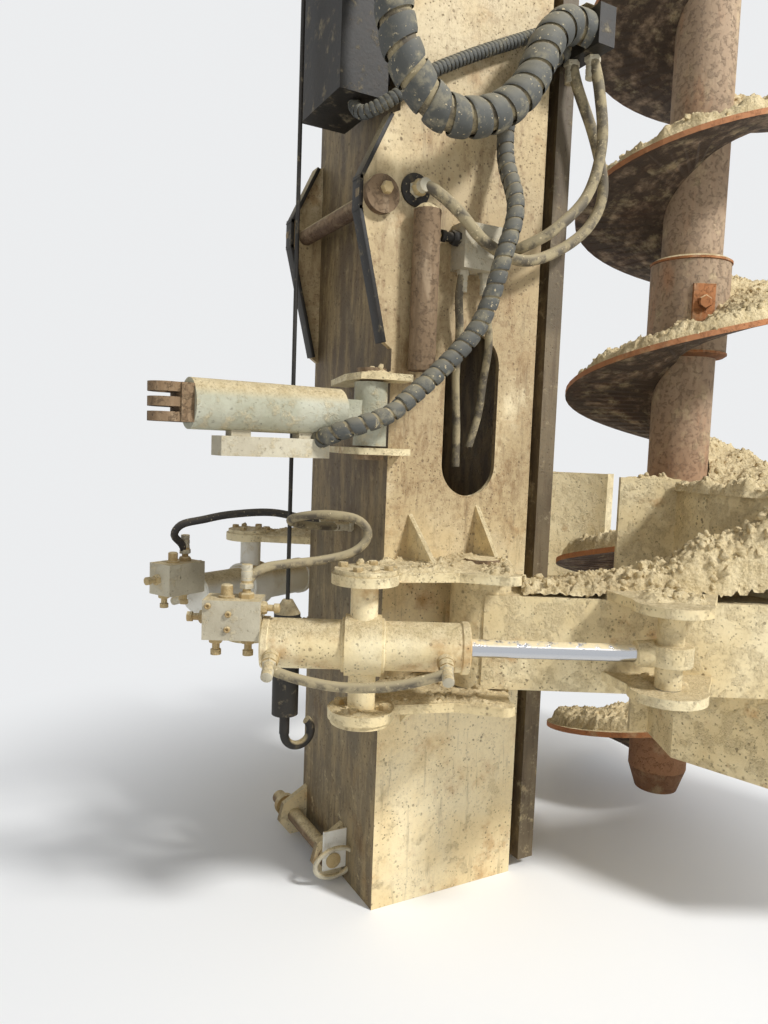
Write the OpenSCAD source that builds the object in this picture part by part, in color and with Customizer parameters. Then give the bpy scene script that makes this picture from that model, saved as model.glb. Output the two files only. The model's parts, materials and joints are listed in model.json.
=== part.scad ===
// Lower mast section of a rotary piling rig with its opening auger guide and auger.
// Origin: centre of the mast foot on the ground. +X towards the auger, -Y is the near side, +Z up.

/* [Mast] */
// Width of the mast box across the machine
mast_w = 530; // [480:5:600]
// Depth of the mast box, fore and aft
mast_d = 500; // [440:5:560]
// Height of the lower mast section
mast_h = 3000; // [2950:10:3300]
// Wall plate thickness of the mast
wall_t = 15; // [10:1:22]
// Thickness of the foot plate
foot_t = 25; // [15:1:40]
// Thickness of the top joint flange
top_t = 30; // [20:1:45]
// Overhang of the top joint flange all round
top_lip = 40; // [40:1:60]

/* [Rails] */
// Width of the groove between mast and rail
groove_w = 36; // [25:1:50]
// Depth of the groove from the side face
groove_deep = 45; // [30:1:70]
// Thickness of the guide rail, fore and aft
rail_t = 59; // [40:1:75]
// Width of one guide rail across the machine
rail_w = 120; // [90:1:150]
// Height of the rail's lower end above the ground
rail_foot = 30; // [15:1:60]

/* [Side hole] */
// Width of the oblong hand hole
hole_w = 187; // [150:1:220]
// Height of the oblong hand hole
hole_h = 476; // [400:1:520]
// Place of the hand hole, fore and aft
hole_x = 22; // [10:1:40]
// Height of the hand hole's centre
hole_z = 1453; // [1440:1:1470]

/* [Guide brackets] */
// Height of the upper bracket's top face
bracket_z = 1034; // [1020:1:1050]
// Height of the lower bracket's top face
bracket_low_z = 690; // [680:1:694]
// Thickness of the bracket plates
bracket_t = 25; // [18:1:28]
// Radius of the bracket bosses
boss_r = 85; // [78:1:95]
// Distance of the arm hinge from the middle of the mast
hinge_y = 387; // [375:1:400]
// Diameter of the arm hinge pin
hinge_d = 80; // [60:1:88]
// Distance of the cylinder trunnion behind the arm hinge
trunnion_back = 400; // [385:1:415]
// Distance of the cylinder trunnion from the middle of the mast
trunnion_y = 447; // [435:1:460]
// Diameter of the trunnion stub
trunnion_d = 70; // [55:1:78]
// Thickness of the bracket ribs
rib_t = 14; // [10:1:16]

/* [Guide arms] */
// Angle that each arm stands open at rest
jaw_open = 28.5; // [20:0.5:32]
// Width of the arm box
arm_w = 180; // [160:1:190]
// Height of the arm's underside
arm_z = 700; // [700:1:715]
// Height of the arm box
arm_h = 260; // [240:1:270]
// Plate thickness of the arm box
arm_wall = 15; // [10:1:20]
// Distance of the rod pin along the arm from the hinge
lug_along = 462; // [450:1:475]
// Distance of the rod pin outside the arm's middle
lug_out = 222; // [215:1:235]
// Radius of the round end of the rod pin lugs
lug_r = 100; // [80:1:110]
// Thickness of the upper rod pin lug
lug_t = 25; // [18:1:32]
// Diameter of the rod pin
rod_pin_d = 65; // [55:1:70]

/* [Guide shell] */
// Inner radius of the closed guide
guide_r = 520; // [500:1:540]
// Plate thickness of the guide shell
shell_t = 15; // [10:1:20]
// Height of the shell's upper edge
shell_top = 1250; // [1200:1:1300]
// Distance of the skirt's flats outside the guide's inner radius
skirt_out = 60; // [45:1:80]
// Height of the skirt's lower edge
skirt_z = 430; // [400:1:480]
// Half of the gap between the closed halves
seam_gap = 3; // [3:0.5:6]
// Thickness of the seam flanges
flange_t = 20; // [14:1:26]
// Width of the front seam flange
front_flange_w = 90; // [60:1:120]

/* [Guide cylinders] */
// Height of the guide cylinders' middle
cyl_z = 850; // [840:1:860]
// Outer diameter of the cylinder barrel
barrel_d = 125; // [115:1:135]
// Bore of the cylinder barrel
bore_d = 100; // [90:1:105]
// Diameter of the trunnion collar
collar_d = 155; // [145:1:165]
// Length of the trunnion collar
collar_len = 92; // [85:1:100]
// Length of the barrel in front of the trunnion
barrel_front = 269; // [255:1:280]
// Length of the barrel behind the trunnion
barrel_back = 255; // [245:1:265]
// Diameter of the piston rod
rod_d = 45; // [40:1:55]
// Outer diameter of the rod eye
eye_d = 112; // [100:1:120]
// Height of the rod eye
eye_h = 52; // [40:1:60]

/* [Auger] */
// Distance of the auger from the middle of the mast
auger_x = 1208; // [1205:1:1215]
// Outer diameter of the auger flight
auger_d = 900; // [860:5:920]
// Diameter of the auger stem
stem_d = 225; // [200:1:240]
// Bore of the auger stem
stem_bore = 110; // [90:1:125]
// Rise of the flight in one turn
pitch = 690; // [660:5:720]
// Thickness of the flight plate
flight_t = 20; // [14:1:24]
// Diameter of the coupling sleeve
sleeve_d = 296; // [285:1:310]
// Height of the coupling sleeve's lower end
sleeve_z = 1750; // [1700:5:1800]
// Length of the coupling sleeve
sleeve_len = 350; // [300:5:400]
// Height of the auger stem's upper end
auger_top = 3080; // [3050:5:3100]

/* [Prop cylinder] */
// Height of the prop cylinder's middle
prop_z = 1437; // [1430:1:1445]
// Outer diameter of the prop cylinder
prop_d = 122; // [115:1:130]
// Length of the prop cylinder's barrel
prop_len = 400; // [380:1:420]
// Diameter of the prop's swivel pin
prop_pin_d = 60; // [50:1:64]
// Clear height between the prop lugs
prop_gap = 180; // [175:1:190]
// Thickness of the prop lugs
prop_lug_t = 18; // [14:1:24]

/* [Hook] */
// Diameter of the hook weight
weight_d = 77; // [65:1:85]
// Diameter of the hook rope
rope_d = 12; // [10:1:16]

/* [Hidden] */
$fn = 64;

// Fits: a running fit on a radius, a seat that just doesn't touch, a thrust gap between moving faces
fit = 0.05;
seat = 0.3;
thrust = 5;

cream = [0.88, 0.82, 0.68];
soil = [0.74, 0.65, 0.48];
rust = [0.62, 0.38, 0.2];
hose_grey = [0.36, 0.34, 0.31];
dark = [0.2, 0.2, 0.2];
chrome = [0.75, 0.76, 0.78];
pale = [0.78, 0.79, 0.72];

face_y = mast_w / 2;
face_x = mast_d / 2;
rail_x = face_x + groove_w;
hinge_x = 0;
trunnion = [hinge_x - trunnion_back, trunnion_y];
hinge = [hinge_x, hinge_y];
top_z = bracket_z - bracket_t;
shell_r = guide_r + shell_t;
skirt_r = guide_r + skirt_out;

// The rod pin's place at rest, on the far side, and the cylinder that reaches it
rod_pin = hinge + [
  lug_along * cos(jaw_open) - lug_out * sin(jaw_open),
  lug_along * sin(jaw_open) + lug_out * cos(jaw_open)
];
reach = rod_pin - trunnion;
cyl_angle = atan2(reach[1], reach[0]);
cyl_len = norm(reach);

// Far pieces are drawn as they are, near pieces are their mirror image
module near() { mirror([0, 1, 0]) children(); }

// A box from one corner to the opposite one
module block(low, high) { translate(low) cube(high - low); }

// Frames of the far arm and the far cylinder at rest
module arm_frame() {
  translate([hinge[0], hinge[1], 0]) rotate([0, 0, jaw_open]) children();
}
module cylinder_frame() {
  translate([trunnion[0], trunnion[1], cyl_z]) rotate([0, 0, cyl_angle]) children();
}

// A smooth curve through hand-picked points, with a few steps between two of them
function spline(a, b, c, d, t) =
  0.5 * (2 * b + (c - a) * t + (2 * a - 5 * b + 4 * c - d) * t * t + (3 * b - a - 3 * c + d) * t * t * t);
function smooth(p, steps) = let (n = len(p)) concat(
  [for (i = [0 : n - 2], k = [0 : steps - 1])
    spline(p[max(i - 1, 0)], p[i], p[i + 1], p[min(i + 2, n - 1)], k / steps)],
  [p[n - 1]]
);
function unit(v) = v / norm(v);
function heading(p, i) = unit(p[min(i + 1, len(p) - 1)] - p[max(i - 1, 0)]);

// A hose swept along a route; flat is a direction that the route never runs along.
// leave and enter are the directions at its two ends, where it meets a fitting squarely.
module hose(route, d, leave, enter, sides = 10, steps = 3, flat = [0, 1, 0]) {
  p = smooth(route, steps);
  n = len(p);
  rings = [for (i = [0 : n - 1])
    let (t = i == 0 ? leave : i == n - 1 ? enter : heading(p, i), u = unit(cross(t, flat)), v = unit(cross(t, u)))
    for (k = [0 : sides - 1]) p[i] + d / 2 * (cos(360 * k / sides) * u + sin(360 * k / sides) * v)];
  walls = [for (i = [0 : n - 2], k = [0 : sides - 1])
    let (a = i * sides + k, b = i * sides + (k + 1) % sides) [a, b, b + sides, a + sides]];
  ends = [[for (k = [sides - 1 : -1 : 0]) k], [for (k = [0 : sides - 1]) (n - 1) * sides + k]];
  polyhedron(rings, concat(walls, ends), convexity = 8);
}

// Mast
module mast_side() {
  color(cream) difference() {
    block([-face_x, face_y - wall_t, 0], [face_x, face_y, mast_h]);
    for (s = [-1, 1]) translate([hole_x, face_y + 1, hole_z + s * (hole_h - hole_w) / 2])
      rotate([90, 0, 0]) cylinder(d = hole_w, h = wall_t + 2);
    block([hole_x - hole_w / 2, face_y - wall_t - 1, hole_z - (hole_h - hole_w) / 2],
          [hole_x + hole_w / 2, face_y + 1, hole_z + (hole_h - hole_w) / 2]);
  }
}
module mast_back() {
  color(cream) block([-face_x, -face_y + wall_t, 0], [-face_x + wall_t, face_y - wall_t, mast_h]);
}
module mast_front() {
  color(cream) block([face_x - wall_t, -face_y + wall_t, 0], [face_x, face_y - wall_t, mast_h]);
}
module foot_plate() {
  color(soil) block([-face_x + wall_t, -face_y + wall_t, 0], [face_x - wall_t, face_y - wall_t, foot_t]);
}
module rail_side() {
  color(cream) block([rail_x, face_y - rail_w, rail_foot], [rail_x + rail_t, face_y, mast_h]);
}
// A web bar behind each rail carries it and leaves the groove open to the side
web_w = 60;
module rail_web() {
  web_y = face_y - groove_deep;
  color(dark) for (y = [-web_y, web_y - web_w]) block([face_x, y, rail_foot], [rail_x, y + web_w, mast_h]);
}
bolt_inset = 25;
bolt_d = 26;
module top_flange() {
  low = [-face_x - top_lip, -face_y - top_lip, mast_h];
  high = [rail_x + rail_t, face_y + top_lip, mast_h + top_t];
  color(cream) difference() {
    block(low, high);
    block([-face_x + 2 * wall_t, -face_y + 2 * wall_t, mast_h - 1],
          [face_x - 2 * wall_t, face_y - 2 * wall_t, mast_h + top_t + 1]);
    for (x = [low[0] + bolt_inset, high[0] - bolt_inset], y = [low[1] + bolt_inset, high[1] - bolt_inset])
      translate([x, y, mast_h - 1]) cylinder(d = bolt_d, h = top_t + 2);
  }
}

// Guide brackets: one outline for the upper and lower plate
module bracket_outline() {
  tip = hinge + [-45, 188];
  polygon([
    [-face_x, face_y], [hinge[0] + boss_r + 30, face_y], hinge + [boss_r + 8, 0], tip + [28, -12],
    tip + [-18, 26], hinge + [-161, 128], trunnion + [85, 25], trunnion + [0, 60], trunnion + [-60, 0],
    trunnion + [-10, -70]
  ]);
  translate(trunnion) circle(r = boss_r);
  translate(hinge) circle(r = boss_r);
  translate(tip) circle(r = 30);
}
module bracket_plate(z) {
  translate([0, 0, z]) linear_extrude(bracket_t) bracket_outline();
}
// A triangular rib that stands on the side face at x
module rib(x, z, out, high) {
  translate([x + rib_t / 2, face_y, z]) rotate([0, -90, 0])
    linear_extrude(rib_t) polygon([[0, 0], [high, 0], [0, out]]);
}
cover_r = 78;
cover_t = 12;
module pin_bores(z) {
  translate([hinge[0], hinge[1], z - 1]) cylinder(d = hinge_d + 2 * fit, h = bracket_t + 2);
  translate([trunnion[0], trunnion[1], z - 1]) cylinder(d = trunnion_d + 2 * fit, h = bracket_t + 2);
}
rear_rib_x = -170;
front_rib_x = 60;
module bracket_top() {
  color(soil) {
    difference() { bracket_plate(top_z); pin_bores(top_z); }
    rib(rear_rib_x, bracket_z, 150, 130);
    rib(front_rib_x, bracket_z, 120, 155);
    translate([trunnion[0], trunnion[1], bracket_z]) cylinder(r = cover_r, h = cover_t);
  }
}
module bracket_low() {
  low_z = bracket_low_z - bracket_t;
  color(soil) {
    difference() { bracket_plate(low_z); pin_bores(low_z); }
    for (x = [rear_rib_x, front_rib_x]) mirror([0, 0, 1]) rib(x, -low_z, 120, 110);
    translate([trunnion[0], trunnion[1], low_z - cover_t]) cylinder(r = cover_r, h = cover_t);
  }
}
pin_head_t = 14;
module hinge_pin() {
  low_z = bracket_low_z - bracket_t;
  color(rust) translate([hinge[0], hinge[1], 0]) {
    translate([0, 0, low_z - pin_head_t]) cylinder(d = hinge_d, h = bracket_z - low_z + 2 * pin_head_t);
    translate([0, 0, low_z - pin_head_t]) cylinder(d = hinge_d + 20, h = pin_head_t);
    translate([0, 0, bracket_z]) cylinder(d = hinge_d + 20, h = pin_head_t);
  }
}

// Lifting lugs on both rear edges and the pin across them
lift_pin_d = 50;
lift_pin_x = -304;
lift_pin_z = 2019;
lift_lug_t = 20;
module lift_lug() {
  difference() {
    translate([0, face_y, 0]) rotate([90, 0, 0]) linear_extrude(lift_lug_t) difference() {
      union() {
        polygon([[-face_x, 1620], [-face_x, 2250], [-face_x - 30, 2235], [lift_pin_x - 60, lift_pin_z + 40],
                 [lift_pin_x - 60, lift_pin_z - 40], [-face_x - 30, 1640]]);
        translate([lift_pin_x, lift_pin_z]) circle(r = 62);
      }
      translate([-face_x, 1500]) square([200, 1000]);
    }
    translate([lift_pin_x, face_y + 1, lift_pin_z]) rotate([90, 0, 0])
      cylinder(d = lift_pin_d + 2 * fit, h = lift_lug_t + 2);
  }
}
module lift_lugs() { color(cream) { lift_lug(); near() lift_lug(); } }
lift_head_t = 22;
module lift_pin() {
  half = face_y + lift_head_t;
  color(rust) translate([lift_pin_x, half, lift_pin_z]) rotate([90, 0, 0]) {
    cylinder(d = lift_pin_d, h = 2 * half);
    cylinder(d = 100, h = lift_head_t);
    translate([0, 0, 2 * half - lift_head_t]) cylinder(d = 100, h = lift_head_t);
  }
}

// Swivel lugs of the prop cylinder, wrapped round the near rear corner
prop_pin = [-face_x - 70, -face_y - 22];
module prop_lug_outline() {
  polygon([
    [-face_x, 0], [-face_x - 60, 0], [-face_x - 120, -face_y + 40], [-face_x - 120, -face_y - 60],
    [-face_x - 60, -face_y - 90], [-face_x + 20, -face_y - 90], [-face_x + 40, -face_y], [-face_x, -face_y]
  ]);
}
module prop_lugs() {
  color(soil) for (z = [prop_z - prop_gap / 2 - prop_lug_t, prop_z + prop_gap / 2]) difference() {
    translate([0, 0, z]) linear_extrude(prop_lug_t) prop_lug_outline();
    translate([prop_pin[0], prop_pin[1], z - 1]) cylinder(d = prop_pin_d + 2 * fit, h = prop_lug_t + 2);
  }
}
module prop_pin() {
  half = prop_gap / 2 + prop_lug_t;
  color(rust) translate([prop_pin[0], prop_pin[1], prop_z - half - pin_head_t]) {
    cylinder(d = prop_pin_d, h = 2 * half + 2 * pin_head_t);
    cylinder(d = prop_pin_d + 20, h = pin_head_t);
    translate([0, 0, 2 * half + pin_head_t]) cylinder(d = prop_pin_d + 20, h = pin_head_t);
  }
}

// Small fittings on the near side and the rear
corner_tube_d = 75;
module corner_tube() {
  color(soil) translate([-175, -face_y - seat - corner_tube_d / 2, 1563]) {
    cylinder(d = corner_tube_d, h = 430);
    translate([0, 0, 430]) cylinder(d1 = corner_tube_d, d2 = corner_tube_d - 30, h = 14);
  }
}
console = [[-430, -265, 2266], [-290, 0, 2860]];
module hose_console() {
  color(dark) {
    block([console[0][0], -face_y, console[0][2]], [console[1][0], console[1][1], console[1][2]]);
    for (z = [2340, 2760]) block([console[1][0], -200, z], [-face_x, -80, z + 60]);
  }
}
clamp_z = 2500;
module hose_clamp() {
  color(soil) block([rail_x, -face_y - 160, clamp_z], [rail_x + rail_t, -face_y, clamp_z + 110]);
}
junction = [-8, 1915];
junction_size = 125;
module junction_block() {
  s = junction_size / 2;
  color(soil) block([junction[0] - s, -face_y - 70, junction[1] - s], [junction[0] + s, -face_y, junction[1] + s]);
}
foot_pin_d = 48;
foot_pin_x = -face_x - 45;
foot_pin_z = 75;
module foot_lugs() {
  color(cream) for (y = [-60, 230]) difference() {
    translate([0, y + 20, 0]) rotate([90, 0, 0]) linear_extrude(20)
      polygon([[-face_x, 10], [-face_x - 60, 10], [-face_x - 100, 60], [-face_x - 85, 120], [-face_x, 170]]);
    translate([foot_pin_x, y + 21, foot_pin_z]) rotate([90, 0, 0]) cylinder(d = foot_pin_d + 2 * fit, h = 22);
  }
}
module foot_pin() {
  color(rust) translate([foot_pin_x, 380, foot_pin_z]) rotate([90, 0, 0]) {
    cylinder(d = foot_pin_d, h = 460);
    translate([0, 0, 440]) cylinder(d = foot_pin_d + 26, h = 20);
  }
}

// Auxiliary hook on its rope behind the mast
hook_xy = [-463, -82];
hook_top = 900;
weight_len = 340;
rope_top = 2900;
rope_bracket_size = [40, 60, 50];
module rope_bracket() {
  color(cream) translate([hook_xy[0] - rope_bracket_size[0], hook_xy[1] - rope_bracket_size[1] / 2, rope_top])
    cube([-face_x - hook_xy[0] + rope_bracket_size[0], rope_bracket_size[1], rope_bracket_size[2]]);
}
module hook_rope() {
  color(dark) translate([hook_xy[0], hook_xy[1], hook_top]) cylinder(d = rope_d, h = rope_top - hook_top);
}
module hook_weight() {
  color(dark) translate([hook_xy[0], hook_xy[1], hook_top - weight_len]) {
    cylinder(d = weight_d, h = weight_len - 40);
    translate([0, 0, weight_len - 40]) cylinder(d1 = weight_d, d2 = 30, h = 40);
  }
}
hook_r = 42;
hook_bar = 26;
module hook() {
  color(dark) translate([hook_xy[0], hook_xy[1], hook_top - weight_len]) {
    translate([0, 0, -60]) cylinder(d = 30, h = 60);
    translate([hook_r, 0, -60]) rotate([90, 0, 0]) rotate([0, 0, 180])
      rotate_extrude(angle = 230) translate([hook_r, 0]) circle(d = hook_bar);
  }
}

// Hoses on the mast, each along its own route of hand-picked points
module hose_bundle() {
  color(hose_grey) hose([
    [-360, -face_y, 2720], [-365, -335, 2700], [-375, -400, 2600], [-375, -430, 2450], [-335, -432, 2300],
    [-220, -428, 2200], [-70, -425, 2225], [50, -415, 2325], [130, -395, 2470], [205, -376, 2546],
    [rail_x, -372, 2555]
  ], 100, [0, -1, 0], [1, 0, 0], sides = 12, flat = [0.1, 0.3, 1]);
}
module hose_loop_long() {
  color(hose_grey) hose([
    [300, -300, clamp_z], [312, -320, 2420], [370, -340, 2280], [409, -345, 2143], [366, -345, 2034],
    [256, -345, 1945], [112, -360, 1890], [-20, -368, 1915], [-110, -355, 1990], [-175, -325, 2044],
    [-196, -292, 2052], [-196, -face_y, 2052]
  ], 33, [0, 0, -1], [0, 1, 0], flat = [1, 0.5, 0.5]);
}
module hose_loop_short() {
  color(hose_grey) hose([
    [330, -355, clamp_z], [335, -385, 2400], [345, -398, 2247], [300, -400, 2095], [195, -395, 1985],
    [130, -355, 1938], [90, -312, 1918], [junction[0] + junction_size / 2, -305, 1915]
  ], 33, [0, 0, -1], [-1, 0, 0], flat = [0.1, 1, 0.3]);
}
module hose_wrapped() {
  color(hose_grey) hose([
    [rail_x, -293, 2535], [200, -293, 2465], [90, -300, 2340], [58, -325, 2180], [42, -405, 2020],
    [-5, -428, 1880], [-60, -415, 1700], [-160, -400, 1575], [-290, -402, 1462]
  ], 50, [-1, 0, 0], unit([-130, 0, -113]), flat = [0.1, 1, 0.3]);
}
module hose_conduit() {
  color(dark) hose([
    [-360, -200, console[0][2]], [-352, -250, 2228], [-290, -300, 2262], [-200, -303, 2340], [-60, -300, 2425],
    [80, -295, 2500], [200, -290, 2560], [rail_x, -290, 2585]
  ], 35, [0, 0, -1], [1, 0, 0], flat = [0.1, 1, 0.3]);
}
module hose_hole_left() {
  color(hose_grey) hose([
    [-50, -300, junction[1] - junction_size / 2], [-60, -300, 1780], [-50, -295, 1680], [-30, -255, 1560],
    [0, -225, 1420], [10, -215, 1300]
  ], 24, [0, 0, -1], [0, 0, -1], flat = [1, 0, 0]);
}
module hose_hole_right() {
  color(hose_grey) hose([
    [25, -300, junction[1] - junction_size / 2], [35, -300, 1760], [60, -285, 1660], [75, -245, 1560],
    [80, -220, 1460], [60, -205, 1360]
  ], 24, [0, 0, -1], [0, 0, -1], flat = [1, 0, 0]);
}

// Guide arm: box, hinge boss and rod pin lugs, drawn with the arm along +X from its hinge
module lug_outline(inner) {
  edge = arm_w / 2;
  polygon([[lug_along - 130, inner], [lug_along + 170, inner], [lug_along + 170, edge],
           [lug_along + 75, lug_out + 65], [lug_along - lug_r + 5, lug_out - 20], [lug_along - 130, edge]]);
  translate([lug_along, lug_out]) circle(r = lug_r);
}
lug_gap_top = arm_z + arm_h;
lug_low_z = 735;
module arm() {
  color(soil) difference() {
    union() {
      translate([0, 0, bracket_low_z + thrust])
        cylinder(r = boss_r, h = top_z - bracket_low_z - 2 * thrust);
      difference() {
        block([0, -arm_w / 2, arm_z], [auger_x - hinge_x, arm_w / 2, arm_z + arm_h]);
        block([boss_r, -arm_w / 2 + arm_wall, arm_z + arm_wall],
              [auger_x, arm_w / 2 - arm_wall, arm_z + arm_h - arm_wall]);
        translate([auger_x - hinge_x, -hinge_y, arm_z - 1]) cylinder(r = shell_r, h = arm_h + 2, $fn = 128);
      }
      translate([0, 0, lug_gap_top]) linear_extrude(lug_t) lug_outline(arm_w / 2 - 60);
      translate([0, 0, lug_low_z]) linear_extrude(lug_t) lug_outline(arm_w / 2 - 5);
    }
    translate([0, 0, arm_z - thrust - 1]) cylinder(d = hinge_d + 2 * fit, h = arm_h + 100);
  }
}

// Half of the guide, drawn closed and seen from the arm's hinge
module guide_frame() { translate([auger_x - hinge_x, -hinge_y, 0]) children(); }
module half_space(r) { translate([-r, seam_gap, -1]) cube([2 * r, r, mast_h]); }
rear_flange_w = 200;
rear_flange_z = 950;
rear_flange_top = 1280;
module shell() {
  color(soil) guide_frame() {
    intersection() {
      translate([0, 0, arm_z]) difference() {
        cylinder(r = shell_r, h = shell_top - arm_z, $fn = 128);
        translate([0, 0, -1]) cylinder(r = guide_r, h = shell_top - arm_z + 2, $fn = 128);
      }
      half_space(2 * shell_r);
    }
    block([-guide_r - rear_flange_w, seam_gap, rear_flange_z],
          [-guide_r - 2, seam_gap + flange_t, rear_flange_top]);
    block([guide_r + 2, seam_gap, arm_z], [shell_r + front_flange_w, seam_gap + flange_t, shell_top]);
  }
}
skirt_lip = 60;
module skirt() {
  skin = skirt_r / cos(22.5);
  color(soil) guide_frame() {
    intersection() {
      difference() {
        translate([0, 0, skirt_z]) rotate([0, 0, 22.5]) cylinder(r = skin, h = arm_z - skirt_z, $fn = 8);
        translate([0, 0, skirt_z - 1]) rotate([0, 0, 22.5])
          cylinder(r = skin - shell_t / cos(22.5), h = arm_z - skirt_z - shell_t + 1, $fn = 8);
        translate([0, 0, skirt_z]) cylinder(r = guide_r, h = arm_z, $fn = 128);
      }
      half_space(2 * skirt_r);
    }
    for (x = [-skirt_r - skirt_lip, skirt_r - shell_t]) translate([x, seam_gap, skirt_z])
      cube([skirt_lip + shell_t, flange_t, arm_z - shell_t - skirt_z]);
  }
}

// Guide cylinder, drawn along +X from its trunnion
valve_len = 142;
valve_w = 95;
port_r = 18;
port_len = 85;
port_dir = [0, sin(70), -cos(70)];
function port(x) = [x, 0, 0] + port_len * port_dir;
module barrel() {
  gland_len = 40;
  color(soil) difference() {
    union() {
      translate([-barrel_back, 0, 0]) rotate([0, 90, 0]) cylinder(d = barrel_d, h = barrel_back + barrel_front);
      translate([-collar_len / 2, 0, 0]) rotate([0, 90, 0]) cylinder(d = collar_d, h = collar_len);
      stub_low = bracket_low_z - bracket_t - cyl_z + seat;
      translate([0, 0, stub_low]) cylinder(d = trunnion_d, h = bracket_z - seat - cyl_z - stub_low);
      for (x = [-225, 205]) translate([x, 0, 0]) rotate([70, 0, 0]) translate([0, 0, -port_len])
        cylinder(r = port_r, h = port_len - 25);
    }
    translate([-barrel_back + 25, 0, 0]) rotate([0, 90, 0])
      cylinder(d = bore_d, h = barrel_back - 25 + barrel_front - gland_len);
    rotate([0, 90, 0]) cylinder(d = rod_d + 2 * fit, h = barrel_front + 1);
  }
}
module valve() {
  color(soil) block([-barrel_back - valve_len, -valve_w / 2, 13], [-barrel_back, valve_w / 2, 112]);
}
module cylinder_hose() {
  color(hose_grey) hose([
    port(-225), [-218, 100, -40], [-150, 104, -62], [-50, 104, -78], [60, 104, -74], [150, 100, -56],
    [198, 98, -39], port(205)
  ], 26, port_dir, -port_dir, flat = [0, 0.342, 0.94]);
}
rod_in = 90;
module rod() {
  color(chrome) {
    translate([rod_in, 0, 0]) rotate([0, 90, 0]) cylinder(d = rod_d, h = cyl_len - rod_in);
    translate([cyl_len, 0, -eye_h / 2]) cylinder(d = eye_d, h = eye_h);
    translate([cyl_len, 0, lug_low_z + lug_t + seat - cyl_z])
      cylinder(d = rod_pin_d, h = lug_gap_top - lug_low_z - lug_t - 2 * seat);
  }
}

// Prop cylinder, drawn along -X from its swivel pin
prop_turn = 4;
tongue_len = 100;
module prop_frame() {
  translate([prop_pin[0], prop_pin[1], prop_z]) rotate([0, 0, prop_turn]) children();
}
module prop_barrel() {
  color(pale) prop_frame() difference() {
    union() {
      translate([0, 0, -prop_gap / 2 + thrust]) cylinder(r = 45, h = prop_gap - 2 * thrust);
      block([-tongue_len, -22, -35], [-30, 22, 35]);
      translate([-tongue_len - prop_len, 0, 0]) rotate([0, 90, 0]) cylinder(d = prop_d, h = prop_len);
    }
    translate([0, 0, -prop_gap]) cylinder(d = prop_pin_d + 2 * fit, h = 2 * prop_gap);
  }
}
fork_bore_d = 40;
fork_len = 95;
module prop_fork() {
  tail = -tongue_len - prop_len;
  color(rust) prop_frame() difference() {
    union() {
      block([tail - 30, -45, -45], [tail, 45, 45]);
      for (z = [-45, -11, 23]) {
        block([tail - fork_len + 40, -40, z], [tail, 40, z + 22]);
        translate([tail - fork_len + 40, 0, z]) cylinder(r = 40, h = 22);
      }
    }
    translate([tail - fork_len + 40, 0, -60]) cylinder(d = fork_bore_d, h = 120);
  }
}
// The prop's valve body hangs under its barrel on two saddles
prop_valve_size = [290, 70, 48];
saddle_size = [50, 40, 16];
module prop_valve() {
  body_top = -prop_d / 2 - 12;
  color(dark) prop_frame() difference() {
    union() {
      translate([-tongue_len - 330, -prop_valve_size[1] / 2, body_top - prop_valve_size[2]]) cube(prop_valve_size);
      for (x = [-300, -120]) translate([x - tongue_len, -saddle_size[1] / 2, body_top]) cube(saddle_size);
    }
    translate([-tongue_len - prop_len, 0, 0]) rotate([0, 90, 0]) cylinder(d = prop_d + 2 * seat, h = prop_len);
  }
}

// Auger
steps_per_turn = 48;
flight_z = 90;
flight_phase = 130.8;
flight_ref_z = 1570;
tip_h = 90;
module auger_frame() { translate([auger_x, 0, 0]) children(); }
module auger_stem() {
  color(rust) auger_frame() difference() {
    union() {
      translate([0, 0, tip_h]) cylinder(d = stem_d, h = auger_top - tip_h);
      translate([0, 0, auger_top]) cylinder(d = stem_d - 50, h = 120);
    }
    translate([0, 0, tip_h - 1]) cylinder(d = stem_bore, h = auger_top + 200);
    translate([0, stem_d, auger_top + 60]) rotate([90, 0, 0]) cylinder(d = 50, h = 2 * stem_d);
  }
}
module auger_sleeve() {
  color(rust) auger_frame() translate([0, 0, sleeve_z]) difference() {
    cylinder(d = sleeve_d, h = sleeve_len);
    translate([0, 0, -1]) cylinder(d = stem_d, h = sleeve_len + 2);
  }
}
// Inner edge of the flight: it clears the facets' chords and steps out round the sleeve
function flight_in(z) = let (rise = pitch / steps_per_turn, chord = cos(180 / steps_per_turn))
  ((z + flight_t + rise > sleeve_z && z - rise < sleeve_z + sleeve_len) ? sleeve_d : stem_d) / 2 / chord + fit;
module auger_flight() {
  rise = pitch / steps_per_turn;
  n = floor((auger_top - flight_t - flight_z) / rise);
  sections = [for (i = [0 : n])
    let (z = flight_z + i * rise, a = flight_phase + 360 * (z - flight_ref_z) / pitch, r = flight_in(z))
    for (q = [[r, 0], [auger_d / 2, 0], [auger_d / 2, flight_t], [r, flight_t]])
      [q[0] * cos(a), q[0] * sin(a), z + q[1]]];
  walls = [for (i = [0 : n - 1], k = [0 : 3])
    let (a = 4 * i + k, b = 4 * i + (k + 1) % 4) each [[a, b + 4, b], [a, a + 4, b + 4]]];
  ends = [[0, 1, 2, 3], [for (k = [3 : -1 : 0]) 4 * n + k]];
  color(rust) auger_frame() polyhedron(sections, concat(walls, ends), convexity = 10);
}
module auger_tip() {
  color(rust) auger_frame() cylinder(d1 = stem_d - 60, d2 = stem_d, h = tip_h);
}

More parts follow.
